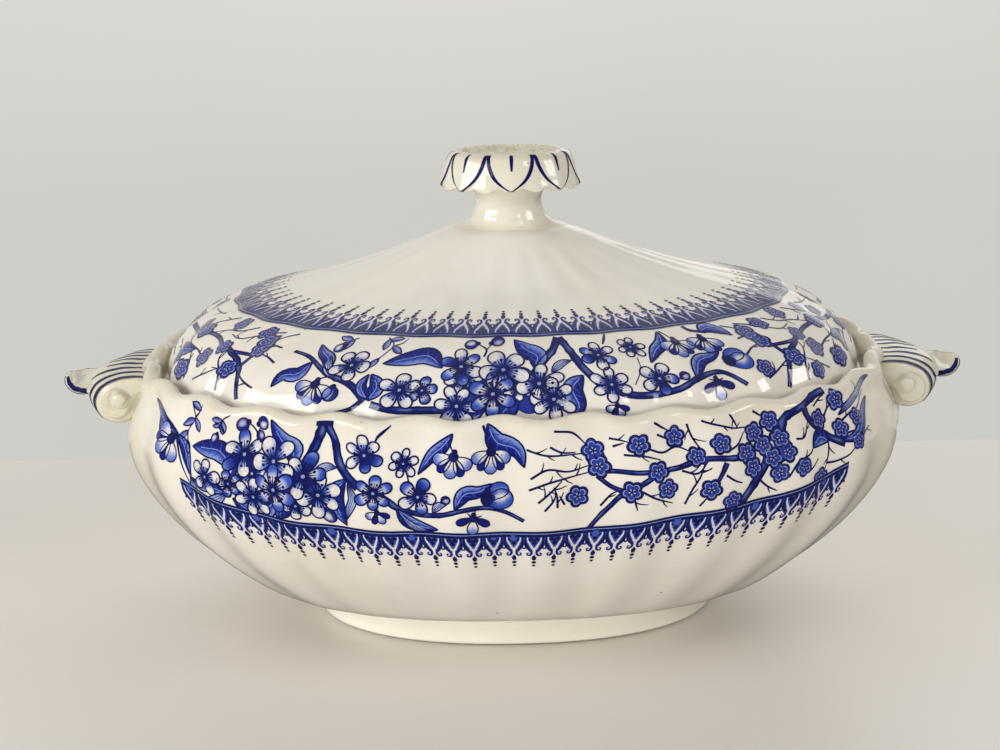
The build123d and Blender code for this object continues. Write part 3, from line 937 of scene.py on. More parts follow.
def open_leaf(art, points, width, order=1):
    """A pale leaf with dark ends and long veins."""
    def tone(t, q):
        c = blend_tone(MID, PALE, np.clip(1.4 - np.abs(t - 0.5) * 2.6, 0, 1))
        lit = np.clip(0.9 - np.abs(q - 0.25) * 1.6, 0, 1) * np.clip(1 - np.abs(t - 0.5) * 2.4, 0, 1)
        c = blend_tone(c, BARE, lit)
        return blend_tone(c, DEEP, np.clip(0.18 - t, 0, 1) * 4 + np.clip(t - 0.86, 0, 1) * 3)
    art.shape(points, leaf_half(width), tone, order, 7, 0.42)
    path = through(points, art.step)
    side = sideways(path)
    for k in (-0.45, 0.0, 0.4):
        off = leaf_half(width * k)(np.linspace(0, 1, len(path)))
        vein = path + side * off[:, None]
        art.line(vein[1:-1:2], 0.16 if k else 0.24, order + 0.1)


def branch(art, points, w0, w1, order, knots, seed):
    """A woody branch, w0 to w1 wide: dark sides, a lighter lit strip and uneven knots."""
    rng = random.Random(seed)
    path = through(points, art.step * 0.8)
    t = np.linspace(0, 1, len(path))
    length = np.hypot(*np.diff(path, axis=0).T).sum()
    swell = np.zeros(len(path))
    for _ in range(max(2, int(length / 5))):
        at, size = rng.uniform(0.05, 0.95), rng.uniform(0.15, 0.5)
        swell += 1.3 * size * np.exp(-((t - at) * length / 0.75) ** 2)
    half = (w0 + (w1 - w0) * t) / 2 * (1 + 0.45 * knots * swell)
    side = sideways(path)
    q = np.linspace(-1, 1, 6)
    grid = path[:, None, :] + side[:, None, :] * (half[:, None] * q[None, :])[..., None]
    lit = blend_tone(NAVY, MID, np.clip(0.62 - np.abs(q - 0.25) * 1.2, 0, 1))
    shade = 0.3 + 0.5 * np.sin(t * length * 0.9 + seed)
    gleam = np.clip(np.sin(t * length * 0.62 + seed * 1.7), 0, 1)
    strip = np.clip(0.75 - np.abs(q - 0.2) * 1.3, 0, 1)
    tone = lit[None, :, :] * np.ones((len(path), 1, 1))
    tone = blend_tone(tone, NAVY, shade[:, None] * np.ones((1, len(q))))
    tone = blend_tone(tone, blend_tone(MID, PALE, 0.5), gleam[:, None] * strip[None, :])
    art.add("wash", grid, layer_lift(order), tone)
    for edge in (0, -1):
        art.add("ink", ribbon(grid[:, edge], 0.24), layer_lift(order) + INK_OVER)


# How much heavier the brush draws a twig than its width, and the width of a sprig's stem
TWIG_WEIGHT = 1.7
STEM = 0.57


def twig(art, points, width=0.42, thorns=0, order=0, seed=1):
    """A thin twig that tapers, with short side thorns."""
    width = width * TWIG_WEIGHT
    art.line(points, [width, width * 0.9, width * 0.5], order)
    rng = random.Random(seed)
    path = through(points, 1.0)
    for i in range(thorns):
        k = int(len(path) * (i + 0.8) / (thorns + 0.8))
        k = min(max(k, 1), len(path) - 2)
        d = path[k + 1] - path[k - 1]
        a = math.atan2(d[1], d[0]) + (0.75 if (i + seed) % 2 else -0.75) + rng.uniform(-0.2, 0.2)
        reach = rng.uniform(2.2, 4.4)
        thorn = [tuple(path[k]), polar(*path[k], a, reach * 0.5), polar(*path[k], a + 0.12, reach)]
        art.line(thorn, [width * 0.75, width * 0.35], order)


def round_bud(art, x, y, r, angle, order, pale):
    """A small closed bud in one piece, with a fold and a cup."""
    def tone(t, q):
        c = blend_tone(MID, DEEP, np.clip(np.abs(q + 0.2) * 1.1, 0, 1))
        lit = np.clip(1.1 - np.hypot((t - 0.5) * 2.6, (q + 0.25) * 1.7), 0, 1)
        return blend_tone(c, BARE, lit * (1.3 if pale else 0.8))

    def half(t):
        return r * np.sqrt(np.clip(1 - (2 * t - 1) ** 2, 0, 1)) + 0.02

    a = math.radians(angle)
    art.shape([polar(x, y, a, -r), polar(x, y, a, r * 1.1)], half, tone, order, 6, 0.5)
    fold = [polar(x, y, a, r * 1.0), polar(x, y, a + 1.2, r * 0.45), polar(x, y, a + 2.4, r * 0.7)]
    art.line(fold, [0.2, 0.36, 0.3], order + 0.2)
    art.spot(*polar(x, y, a, -r * 1.05), 0.46 * r, order + 0.3)


def bud(art, x, y, r, angle, order=2, pale=False):
    """A closed bud: a small one round, a larger one of two overlapping petals in a dark cup."""
    if r < 3.2:
        round_bud(art, x, y, r, angle, order, pale)
        return
    a = math.radians(angle)
    base = polar(x, y, a, -1.05 * r)
    for k, (off, reach, wide) in enumerate(((0.42, 0.95, 0.66), (-0.30, 1.0, 0.86))):
        def tone(t, q, off=off, k=k):
            c = blend_tone(DEEP, MID, t * 2.4)
            lit = np.clip(1.0 - np.abs(q + off * 0.6) * 1.5, 0, 1)
            lit = lit * np.clip((t - 0.2) * 3, 0, 1) * np.clip((1.02 - t) * 2.2, 0, 1)
            c = blend_tone(c, PALE, lit * 1.3)
            return blend_tone(c, BARE, (lit - 0.12) * (1.9 if pale or k == 1 else 0.8))

        stop = polar(*base, a + off * 0.42, 2.15 * r * reach)
        bend = polar(*base, a + off * 0.95, 1.15 * r * reach)
        art.shape([base, bend, stop], petal_half(wide * r, 0.4, 0.58), tone, order + 0.15 * k, 6, 0.42)
    art.shape([polar(*base, a, -0.3 * r), polar(*base, a, 0.75 * r)], leaf_half(0.5 * r, 0.4),
             lambda t, q: blend_tone(NAVY, MID, t * 0.6 + 0 * q), order + 0.5, 5, 0.4)


def hanging_bell(art, x, y, size, angle, order=2, petals=5):
    """A half-open flower that hangs from its cup."""
    rng = random.Random(int(x * 7 + y))
    for i in range(petals):
        f = (i / (petals - 1) - 0.5) * 2
        a = math.radians(angle + f * 62)
        start = polar(x, y, a, size * 0.12)
        stop = polar(x, y, a, size * (1.0 - 0.1 * abs(f)))
        dark = i % 2 == (petals // 2 + 1) % 2

        def tone(t, q, dark=dark):
            if dark:
                return blend_tone(NAVY, DEEP, t)
            c = blend_tone(BARE, PALE, (t - 0.4) / 0.3)
            return blend_tone(c, MID, (t - 0.62) * 2.2 + np.abs(q) * 0.15)

        wide = size * (0.20 if dark else 0.27)
        art.shape([start, stop], petal_half(wide, 0.2, 0.66), tone, order + (0 if dark else 0.12), 5, 0.42)
    art.spot(*polar(x, y, math.radians(angle), size * 0.05), size * 0.22, order + 0.5)
    art.spot(*polar(x, y, math.radians(angle + 180), size * 0.18), size * 0.13, order + 0.5)


def sprig(art, points, leaves):
    """A fine stem with small pointed leaves: (place along it, side, length)."""
    art.line(points, [STEM, STEM * 0.7], 1)
    path = through(points, 0.5)
    for at, side, length in leaves:
        k = min(int(at * (len(path) - 1)), len(path) - 2)
        d = path[k + 1] - path[max(k - 1, 0)]
        a = math.atan2(d[1], d[0]) + side * 0.85
        stop = polar(*path[k], a, length)

        def tone(t, q):
            return blend_tone(MID, BARE, np.clip(0.55 - np.abs(q - 0.35) * 1.2 + 0.1 * t, 0, 1))

        art.shape([tuple(path[k]), stop], leaf_half(length * 0.21, 0.5), tone, 1, 4, 0.5)


def border_unit(place, pitch, flip, height):
    """One repeat of the fringe: an arch round a trefoil, scrolls, a stem with beads, and drops between."""
    art = Print(place, 0.8)
    k = pitch / 7.0

    def at(x, y):
        return (x * k, flip * y * height)

    def path(m, *points):
        return [at(m * x, y) for x, y in points]

    shield = blend_tone(MID, PALE, 0.08)
    arch = blend_tone(DEEP, MID, 0.6)
    curl_tone = (0.012, 0.028, 0.34)
    turns = np.linspace(0.0, math.pi, 6)
    art.line(path(1, (0, 1.1), (0, 2.6), (0, 4.4), (0, 6.0)), [4.7 * k, 4.2 * k, 2.4 * k, 0.5], 1.35,
            "wash", shield)
    for m in (-1, 1):
        art.line(path(m, (2.85, 1.3), (3.0, 3.4), (2.3, 5.6), (1.0, 7.6)), [0.95, 1.5, 1.65, 0.95], 1.2,
                "wash", arch)
        art.line(path(m, (3.0, 1.8), (3.0, 4.1), (2.2, 5.8), (1.2, 7.4)), [0.35, 0.75, 0.85, 0.45], 1.3)
        art.line(path(m, (2.35, 1.3), (2.2, 3.2), (1.3, 5.2), (0.3, 7.0)), [0.26, 0.40, 0.42, 0.3], 1.6,
                "wash", BARE)
        curl = path(m, (1.0, 6.6), (0.85, 8.0), (1.3, 9.1), (2.2, 9.2), (2.5, 8.4), (1.9, 8.0))
        art.line(curl, [0.6, 0.85, 0.95, 0.8, 0.65, 0.5], 1.7, "wash", curl_tone)
        art.spot(*at(m * 1.0, 2.6), 0.9 * k, 1.9)
        art.line(path(m, (3.5, 1.2), (3.5, 4.4)), [0.3, 0.24], 1.4, "wash", MID)
        loop = path(m, *((3.5 - 0.55 * math.sin(q), 5.5 - 0.95 * math.cos(q)) for q in turns))
        art.line(loop, [0.35, 0.55, 0.6], 1.75)
    art.line(path(1, (0, 2.4), (0, 5.2)), [1.0, 0.9, 0.35], 1.85)
    art.spot(*at(0, 4.0), 0.92 * k, 1.9)
    art.spot(*at(0, 10.4), 1.2 * k, 1.9, squash=0.72, turn=math.pi / 2)
    art.line(path(1, (0, 9.0), (0, 9.9)), [0.4, 0.9], 1.9)
    art.spot(*at(0, 12.3), 0.84 * k, 1.9, squash=0.8)
    art.spot(*at(0, 13.8), 0.64 * k, 1.9, squash=0.8)
    return art


def border(art, start, stop, pitch, flip, height):
    """The double line and its fringe from start to stop along the band; flip -1 hangs it downwards."""
    for off, w in ((0.0, 0.85), (1.3, 1.2)):
        art.line([(start, flip * off), (stop, flip * off)], w, 2.4)
    art.line([(start, flip * 0.55), (stop, flip * 0.55)], 0.6, 2.2, "wash", PALE)
    unit = border_unit(art.place, pitch, flip, height)
    for i in range(round((stop - start) / pitch)):
        art.stamp(unit, start + (i + 0.5) * pitch)


# The bands' lengths once round, and the length of one repeat of their fringe. x runs to the right
# from the front of the object, y up from the border line (on the lid, towards the knob).
BOWL_ROUND = 741.5
LID_ROUND = 591.0
BOWL_PITCH = BOWL_ROUND / 112
LID_PITCH = LID_ROUND / 75
BOWL_BORDER_REPEATS = 35
BOWL_BORDER_START = -117.0


def bowl_place(x, y, lift):
    return bowl_shell.lifted(0.75 + x / BOWL_ROUND, BOWL_LINE + y, lift)


def border_rise(x):
    """The bowl's border climbs towards the handles, a little more at the right end."""
    s = (x + BOWL_ROUND / 4) % (BOWL_ROUND / 2) - BOWL_ROUND / 4
    return np.interp(s, [-118, -104, -90, -68, -40, 0, 28, 64, 86, 107, 118],
                     [11.0, 7.2, 4.3, 2.2, 0.7, 0.3, 1.4, 4.6, 6.6, 10.0, 13.0])


def bowl_border_place(x, y, lift):
    return bowl_place(x, y + border_rise(x), lift)


def lid_place(x, y, lift):
    return lid_shell.lifted(0.75 + x / LID_ROUND, y, lift)


def lid_border_place(x, y, lift):
    return lid_place(x, y - 1.2 * np.cos(4 * math.pi * x / LID_ROUND), lift)


def underlay(art, dots):
    """Dark ground under a bunch: (x, y, radius)."""
    for x, y, r in dots:
        art.spot(x, y, r, 0.9, "wash", blend_tone(DEEP, MID, 0.25))


def bunch(art, rng, blossoms, order, rise=0.0):
    """Blossoms in layers, each rise above the last: (x, y, radius, petals, style, turn)."""
    for i, (x, y, r, petals, style, turn) in enumerate(blossoms):
        blossom(art, x, y, r, petals, turn, style, rng, order + rise * i)


def stamens(art, x, y, angles, reach, order):
    """Fine strokes that fan out from a point, at the angles in degrees."""
    for a in angles:
        art.line([(x, y), polar(x, y, math.radians(a), reach)], [0.7, 0.3], order)


def mirrored(points, side, shift=0.0):
    """Points moved outwards by shift; side -1 mirrors them to the left."""
    return [(side * (x + shift), y) for x, y in points]


def thorny_twigs(art, rows, width, seed, side=1, shift=0.0):
    """A thicket of twigs: (points, thorns)."""
    for i, (points, thorns) in enumerate(rows):
        twig(art, mirrored(points, side, shift), width, thorns, 0.1, i + seed)


# Twigs are (points, thorns), branches (points, width from, width to, order, knots, seed) and small
# blossoms (x, y, radius), on the lid (x, y).
BOWL_TWIGS = [
    ([(12.2, 34.8), (17.6, 33.4), (20.6, 30.8), (22.4, 28.6)], 0),
    ([(3.4, 28.4), (9.2, 26.8), (15.2, 26.4), (21.4, 26.2)], 4),
    ([(10.8, 29.6), (14.4, 27.4), (18.8, 26.8)], 0),
    ([(4.4, 19.0), (9.8, 22.0), (16.4, 21.0), (22.8, 22.4)], 3),
    ([(3.8, 15.4), (9.6, 17.6), (15.6, 19.0), (22.4, 20.2)], 4),
    ([(6.6, 11.2), (10.6, 14.8), (14.0, 18.2)], 2), ([(12.6, 9.4), (12.4, 13.4), (11.4, 16.4)], 2),
    ([(8.6, 8.4), (11.4, 12.0), (12.2, 15.0)], 1), ([(14.8, 10.4), (13.2, 13.4)], 0),
    ([(29.6, 31.0), (33.6, 30.6), (35.8, 30.0)], 1), ([(30.6, 28.4), (34.2, 29.8)], 0),
    ([(44.4, 35.2), (46.8, 33.2), (49.2, 31.6)], 0), ([(45.2, 31.2), (47.8, 29.6), (49.2, 29.2)], 0),
    ([(42.2, 27.0), (46.4, 25.2), (51.4, 26.4), (57.2, 23.6)], 1),
    ([(55.2, 33.4), (57.2, 28.4), (59.8, 24.0)], 3),
    ([(60.0, 34.8), (66.0, 33.2), (71.4, 31.0), (75.8, 30.2)], 3),
    ([(69.8, 36.2), (71.6, 32.8), (72.6, 30.8)], 1), ([(78.8, 34.6), (82.4, 32.4)], 0),
    ([(67.4, 24.0), (71.6, 25.6), (74.8, 29.0)], 0), ([(52.0, 18.8), (57.0, 17.6), (60.6, 21.4)], 2),
    ([(53.2, 7.6), (55.2, 12.4), (57.8, 16.6), (59.8, 21.4)], 3),
    ([(39.0, 13.4), (43.6, 10.6), (49.2, 8.4)], 2), ([(26.0, 9.2), (29.2, 13.0), (31.4, 14.2)], 1),
    ([(36.2, 12.0), (37.6, 7.2)], 1), ([(66.0, 16.4), (69.0, 14.2), (71.8, 13.0)], 0),
    ([(58.0, 6.6), (60.2, 9.6)], 0), ([(78.6, 12.6), (81.4, 10.2), (85.0, 8.2)], 1),
    ([(92.6, 24.6), (96.0, 24.6), (99.6, 29.0)], 2),
    ([(88.4, 12.4), (92.0, 17.0), (97.6, 19.0), (101.0, 24.0)], 3),
    ([(92.6, 12.4), (97.0, 13.4), (100.6, 16.4)], 1),
    ([(103.4, 32.6), (106.6, 34.4), (109.0, 35.2)], 1),
    ([(107.2, 27.6), (110.6, 31.4), (114.4, 34.0)], 1),
    ([(104.4, 14.0), (109.0, 13.6), (114.4, 14.6), (118.0, 17.2)], 1),
    ([(106.8, 21.6), (106.0, 17.4), (104.0, 12.0)], 2),
    ([(110.6, 19.6), (115.8, 22.0), (121.0, 22.4), (127.4, 25.8)], 3),
    ([(113.6, 25.8), (119.4, 28.4), (125.0, 29.2), (131.6, 32.4)], 3),
    ([(117.0, 31.6), (122.6, 34.0), (128.0, 34.6)], 2),
    ([(120.0, 17.2), (124.0, 20.4), (128.6, 21.4)], 2), ([(33.8, 25.8), (40.0, 25.0), (45.4, 23.0)], 1),
]
BOWL_BLOSSOMS = [
    (24.4, 26.9, 4.0), (25.9, 22.0, 4.0), (18.8, 12.9, 3.8), (38.9, 28.9, 4.1), (51.0, 29.6, 3.6),
    (35.6, 13.7, 3.8), (44.3, 19.4, 3.7), (47.2, 13.4, 3.5), (57.2, 23.0, 3.5), (65.8, 26.8, 3.9),
    (61.2, 12.1, 3.8), (68.8, 7.4, 3.6), (74.0, 22.2, 3.8), (80.6, 23.8, 3.6), (87.0, 25.6, 3.7),
    (88.4, 20.8, 3.8), (83.4, 19.4, 3.8), (76.0, 17.2, 3.6), (85.4, 14.4, 3.6), (78.4, 28.0, 3.6),
    (84.4, 31.2, 3.6), (94.0, 15.0, 3.4), (104.8, 28.2, 3.5), (113.6, 33.4, 3.8), (102.2, 9.6, 3.6),
    (113.0, 23.8, 3.6), (121.6, 26.4, 3.4), (119.6, 18.6, 3.2),
]
LID_TWIGS = [
    ([(77.6, -3.0), (81.2, -5.0), (83.6, -7.6)], 0), ([(78.0, -10.0), (82.0, -9.6), (84.6, -10.4)], 1),
    ([(75.6, -16.6), (80.0, -14.6), (86.0, -14.0)], 1),
    ([(77.6, -26.4), (83.6, -24.4), (89.6, -21.4)], 2),
    ([(83.8, -3.4), (90.0, -5.4), (98.0, -9.4), (105.0, -9.0)], 3),
    ([(97.0, -3.0), (103.0, -6.6), (110.0, -8.4), (116.0, -11.4)], 3),
    ([(92.4, -30.0), (94.0, -24.0), (97.8, -19.0), (98.4, -15.6)], 3),
    ([(105.4, -29.0), (99.6, -25.4), (95.6, -22.6)], 1),
    ([(107.0, -22.4), (113.0, -19.6), (121.0, -18.2), (129.0, -16.2)], 3),
    ([(112.0, -30.4), (112.8, -25.0), (116.0, -20.4)], 2),
    ([(113.6, -1.6), (120.0, -6.2), (124.0, -9.4)], 2),
    ([(127.0, -3.4), (132.0, -5.2), (140.0, -5.4)], 1),
    ([(124.0, -29.0), (130.0, -24.6), (136.0, -21.6)], 2),
    ([(135.0, -28.0), (139.0, -24.0), (141.0, -19.0)], 2),
]
LID_BRANCHES = [
    ([(84.4, -31.0), (90.2, -20.6), (97.8, -15.6), (104.0, -12.6)], 1.2, 1.6, 0.3, 0.6, 41),
    ([(87.6, -15.6), (100.0, -15.0), (112.6, -12.2), (122.0, -12.0), (131.0, -15.4), (142.0, -15.0)],
     1.0, 1.7, 0.4, 0.6, 42),
    ([(86.0, -5.0), (87.0, -10.0), (88.4, -16.0), (90.0, -20.8)], 0.6, 1.2, 0.4, 0.7, 43),
]
LID_BLOSSOMS = [
    (78.4, -22.8), (91.8, -21.2), (104.6, -20.8), (102.8, -13.6), (85.8, -12.8), (84.2, -8.2),
    (93.0, -5.0), (107.6, -3.2), (118.4, -11.8), (130.6, -10.4), (122.8, -24.2), (113.4, -26.8),
    (98.0, -27.6), (137.6, -19.8), (143.0, -6.8), (122.6, -4.6),
]


def bowl_bunch(art, rng):
    """The bowl's bunch of blossoms with leaves and buds."""
    underlay(art, ((-88, 15, 5.5), (-80, 18.5, 5.5), (-72, 17, 5.0), (-66.5, 13.5, 4.6), (-84, 20, 4.5),
                   (-72.5, 12, 4.0)))
    leaf(art, [(-92, 18), (-98, 23.5), (-104, 23.6), (-111, 22.6)], 3.3, 0.6, 1)
    leaf(art, [(-70.5, 22), (-71.5, 27), (-75.5, 29.4), (-80.5, 35.4)], 3.7, 0.6, -1)
    leaf(art, [(-76, 10), (-79.5, 7.6), (-83, 4.0), (-86, -0.6)], 2.8, 1.3, 1, tip=0.55)
    leaf(art, [(-73.5, 10.5), (-74.6, 7.0), (-78.2, 3.6)], 2.5, 1.2, -1)
    leaf(art, [(-95, 9.6), (-101, 11.2), (-107, 10.6), (-111.5, 12.4)], 2.0, 0.8, 1)
    leaf(art, [(-86, 3.0), (-90, 5.0), (-93.4, 8.2)], 2.2, 0.7, -1)
    open_leaf(art, [(-95.5, 9.6), (-101, 6.4), (-107.4, 5.0)], 1.7, 0.7)
    small = [(-94.2, 13.2, 4.6, 5, "edge"), (-85.6, 17.4, 6.6, 6, "tip"), (-70.2, 8.6, 5.4, 5, "tip")]
    for cx, cy, r, n, style in small:
        blossom(art, cx, cy, r, n, rng.uniform(0, 70), style, rng, 1.2)
    big = [(-103.2, 14.2, 6.4, 5, "tip", 80), (-89.2, 23.2, 8.0, 6, "mixed", 100),
           (-62.6, 12.6, 7.8, 6, "tip", 20), (-67.2, 18.6, 8.2, 6, "mixed", 70),
           (-77.6, 22.6, 8.8, 5, "tip", 118), (-85.8, 9.6, 7.0, 6, "tip", 75),
           (-77.2, 13.4, 8.2, 6, "edge", 95)]
    bunch(art, rng, big, 1.7, 0.42)
    twig(art, [(-85.6, 26.6), (-86.2, 30.4), (-89.4, 33.4)], 0.45)
    bud(art, -91.4, 32.6, 2.1, 200, 1.6)
    bud(art, -83.8, 33.6, 1.9, 20, 1.6, True)
    twig(art, [(-85.8, 28.4), (-85.4, 31.2), (-83.8, 33)], 0.4)
    bud(art, -84.6, 29.6, 1.5, 110, 1.7)


def bowl_fork(art):
    """The bare branch, forked from a point at the rim."""
    branch(art, [(-62.0, 35.2), (-64.6, 28.4), (-66.6, 23.0), (-70.0, 16.6), (-74.6, 9.6)], 2.7, 3.1, 0.3,
           1.2, 4)
    branch(art, [(-61.4, 35.4), (-58.4, 30.6), (-56.2, 24.2), (-53.0, 19.6), (-49.0, 16.2)], 2.0, 2.7,
           0.4, 1.0, 7)
    art.line([(-64.6, 35.4), (-58.8, 35.2)], 1.5, 0.9)
    open_leaf(art, [(-64.4, 18.8), (-60.4, 21.6), (-56.6, 21.8)], 1.5, 1.4)


def bowl_bunch_foot(art):
    """Leaves that hang from the right side of the bunch."""
    leaf(art, [(-53.4, 18.4), (-57.0, 13.0), (-56.2, 7.4), (-54.6, 2.6)], 3.0, 1.3, -1)
    open_leaf(art, [(-52.6, 17.0), (-51.0, 12.4), (-52.6, 8.4), (-54.4, 4.4)], 1.4, 1.0)
    bud(art, -59.8, 5.6, 2.3, -60, 1.4, True)
    art.line([(-61.6, 9.6), (-61.0, 8.2)], 0.4, 1.0)


def bowl_sprigs(art):
    """Sprigs above the bunch and the blade shaped leaves by the handle."""
    sprig(art, [(-115.4, 36.2), (-113.4, 31.4), (-115.4, 27.0), (-113.4, 22.4)],
          [(0.05, 1, 5.2), (0.36, 1, 5.2), (0.4, -1, 5.4), (0.7, -1, 5.0), (0.93, -0.2, 4.2)])
    twig(art, [(-113.4, 31.4), (-111.2, 33.4), (-110.0, 36.0)], 0.4)
    sprig(art, [(-96.2, 35.9), (-98.8, 34.4), (-100.6, 31.0)],
          [(0.5, 1, 4.4), (0.55, -1, 4.6), (0.8, 1, 3.4), (0.8, -1, 3.4)])
    bud(art, -101.4, 27.6, 1.6, -105, 1.2, True)
    leaf(art, [(-119.6, 25.4), (-127.0, 28.0), (-132.0, 31.0), (-139.0, 32.4)], 1.9, 1.0, 1)
    leaf(art, [(-119.6, 24.6), (-126.0, 24.8), (-132.4, 29.2)], 1.6, 0.8, -1)
    hanging_bell(art, -121.2, 23.8, 9.0, 215, 1.5, 5)
    leaf(art, [(-119.0, 25.0), (-115.0, 21.6), (-112.6, 17.4), (-111.0, 12.6)], 1.9, 1.0, 1)
    twig(art, [(-119.8, 25.0), (-116.0, 17.0), (-111.4, 8.4)], 0.5)
    open_leaf(art, [(-111.2, 12.2), (-110.4, 8.2), (-111.6, 4.8)], 1.5, 1.2)


def bowl_middle(art, rng):
    """Loose blossoms, bells and the winding branch to the middle."""
    blossom(art, -47.8, 26.8, 6.6, 6, 40, "mixed", rng, 1.8)
    art.line([(-44.6, 31.4), (-43.4, 33.6), (-39.6, 36.4)], [0.6, 1.2, 0.5], 1.0)
    blossom(art, -35.3, 23.8, 4.9, 6, 15, "tip", rng, 1.8)
    twig(art, [(-34.0, 20.6), (-33.2, 17.6), (-32.4, 16.0)], 0.32)
    leaf(art, [(-19.8, 34.6), (-23.0, 30.0), (-26.4, 26.6), (-30.4, 20.6)], 1.9, 1.0, -1)
    hanging_bell(art, -19.4, 27.2, 7.6, -100, 1.6, 5)
    twig(art, [(-21.0, 33.8), (-20.6, 30.8), (-19.6, 28.2)], 0.42)
    hanging_bell(art, -7.7, 28.0, 7.4, -92, 1.6, 5)
    twig(art, [(-10.2, 36.2), (-9.0, 32.4), (-7.8, 29.2)], 0.5)
    leaf(art, [(-8.8, 36.2), (-5.8, 30.2), (0.2, 28.2), (2.6, 22.8)], 3.2, 1.1, 1)
    branch(art, [(-47.6, 14.8), (-41.0, 12.8), (-37.0, 9.4), (-30.0, 7.2), (-23.6, 7.4), (-17.4, 9.0),
                 (-10.0, 9.8), (-3.6, 8.0), (2.2, 4.8)], 1.9, 0.9, 0.6, 0.6, 12)
    blossom(art, -44.3, 14.6, 6.4, 6, 85, "edge", rng, 2.2)
    blossom(art, -30.6, 13.2, 6.4, 5, 60, "mixed", rng, 2.2)
    hanging_bell(art, -43.6, 8.2, 4.6, -88, 1.8, 4)
    leaf(art, [(-19.2, 9.6), (-16.0, 14.6), (-11.6, 15.2), (-7.4, 17.4)], 2.2, 1.4, 1)
    bud(art, -5.6, 13.6, 3.9, 15, 1.6, True)
    art.spot(-9.3, 12.9, 1.9, 2.4, squash=1.4)
    art.spot(-9.0, 15.3, 1.1, 2.4)
    open_leaf(art, [(-26.2, 8.2), (-24.2, 10.6), (-21.4, 11.4)], 1.2, 1.2)
    bud(art, -21.9, 12.6, 1.3, 30, 1.5)
    leaf(art, [(-37.4, 9.2), (-34.4, 4.8), (-30.8, 2.9), (-25.2, 1.9)], 2.2, 1.5, 1)
    open_leaf(art, [(-36.4, 7.2), (-32.4, 2.6), (-26.4, 0.6)], 1.0, 1.6)
    hanging_bell(art, -13.6, 6.6, 6.4, -96, 3.2, 3)
    stamens(art, -13.6, 6.2, (20, 75, 130, 170), 2.8, 3.4)


def bowl_thorns(art, rng):
    """Thorny branches with small blossoms, to the right."""
    branch(art, [(22.8, 1.0), (26.0, 5.6), (29.0, 9.0), (32.6, 12.8), (39.6, 16.2), (46.0, 19.8)], 1.2,
           1.5, 0.2, 0.6, 21)
    branch(art, [(25.6, 20.6), (32.0, 20.4), (40.0, 19.6), (50.6, 19.8), (60.4, 22.2), (73.4, 21.0)], 1.1,
           1.6, 0.4, 0.6, 22)
    branch(art, [(25.0, 19.0), (29.0, 15.8), (33.6, 13.6)], 1.0, 1.2, 0.3, 0.9, 23)
    branch(art, [(66.6, 20.4), (64.4, 16.6), (62.4, 13.4)], 1.5, 0.6, 0.3, 0.5, 24)
    branch(art, [(71.4, 4.8), (75.4, 10.6), (80.8, 18.2), (83.4, 23.0)], 3.0, 2.4, 0.5, 0.8, 25)
    branch(art, [(88.4, 28.2), (89.8, 32.0), (93.2, 33.8), (98.6, 34.8), (104.0, 35.8), (109.6, 36.6)],
           2.6, 2.0, 0.5, 1.3, 26)
    branch(art, [(97.8, 34.6), (101.4, 28.0), (106.4, 22.6), (113.6, 18.8)], 1.9, 2.3, 0.6, 0.7, 27)
    thorny_twigs(art, BOWL_TWIGS, 0.46, 0)
    for i, (cx, cy, r) in enumerate(BOWL_BLOSSOMS):
        small_blossom(art, cx, cy, r, rng.uniform(0, 72), 1.2 + 0.35 * (i % 3))
    leaf(art, [(106.6, 20.8), (103.0, 22.8), (98.8, 20.4)], 2.6, 1.2, 1)
    leaf(art, [(112.6, 19.6), (120.0, 20.8), (127.0, 26.4), (134.0, 29.6)], 1.9, 1.1, 1)
    open_leaf(art, [(114.0, 28.2), (122.0, 32.6), (130.0, 34.6), (138.0, 35.8)], 1.5, 1.0)


def scene_bowl(art, rng):
    """The bowl's picture, from left to right."""
    bowl_fork(art)
    bowl_bunch(art, rng)
    bowl_bunch_foot(art)
    bowl_sprigs(art)
    bowl_middle(art, rng)
    bowl_thorns(art, rng)


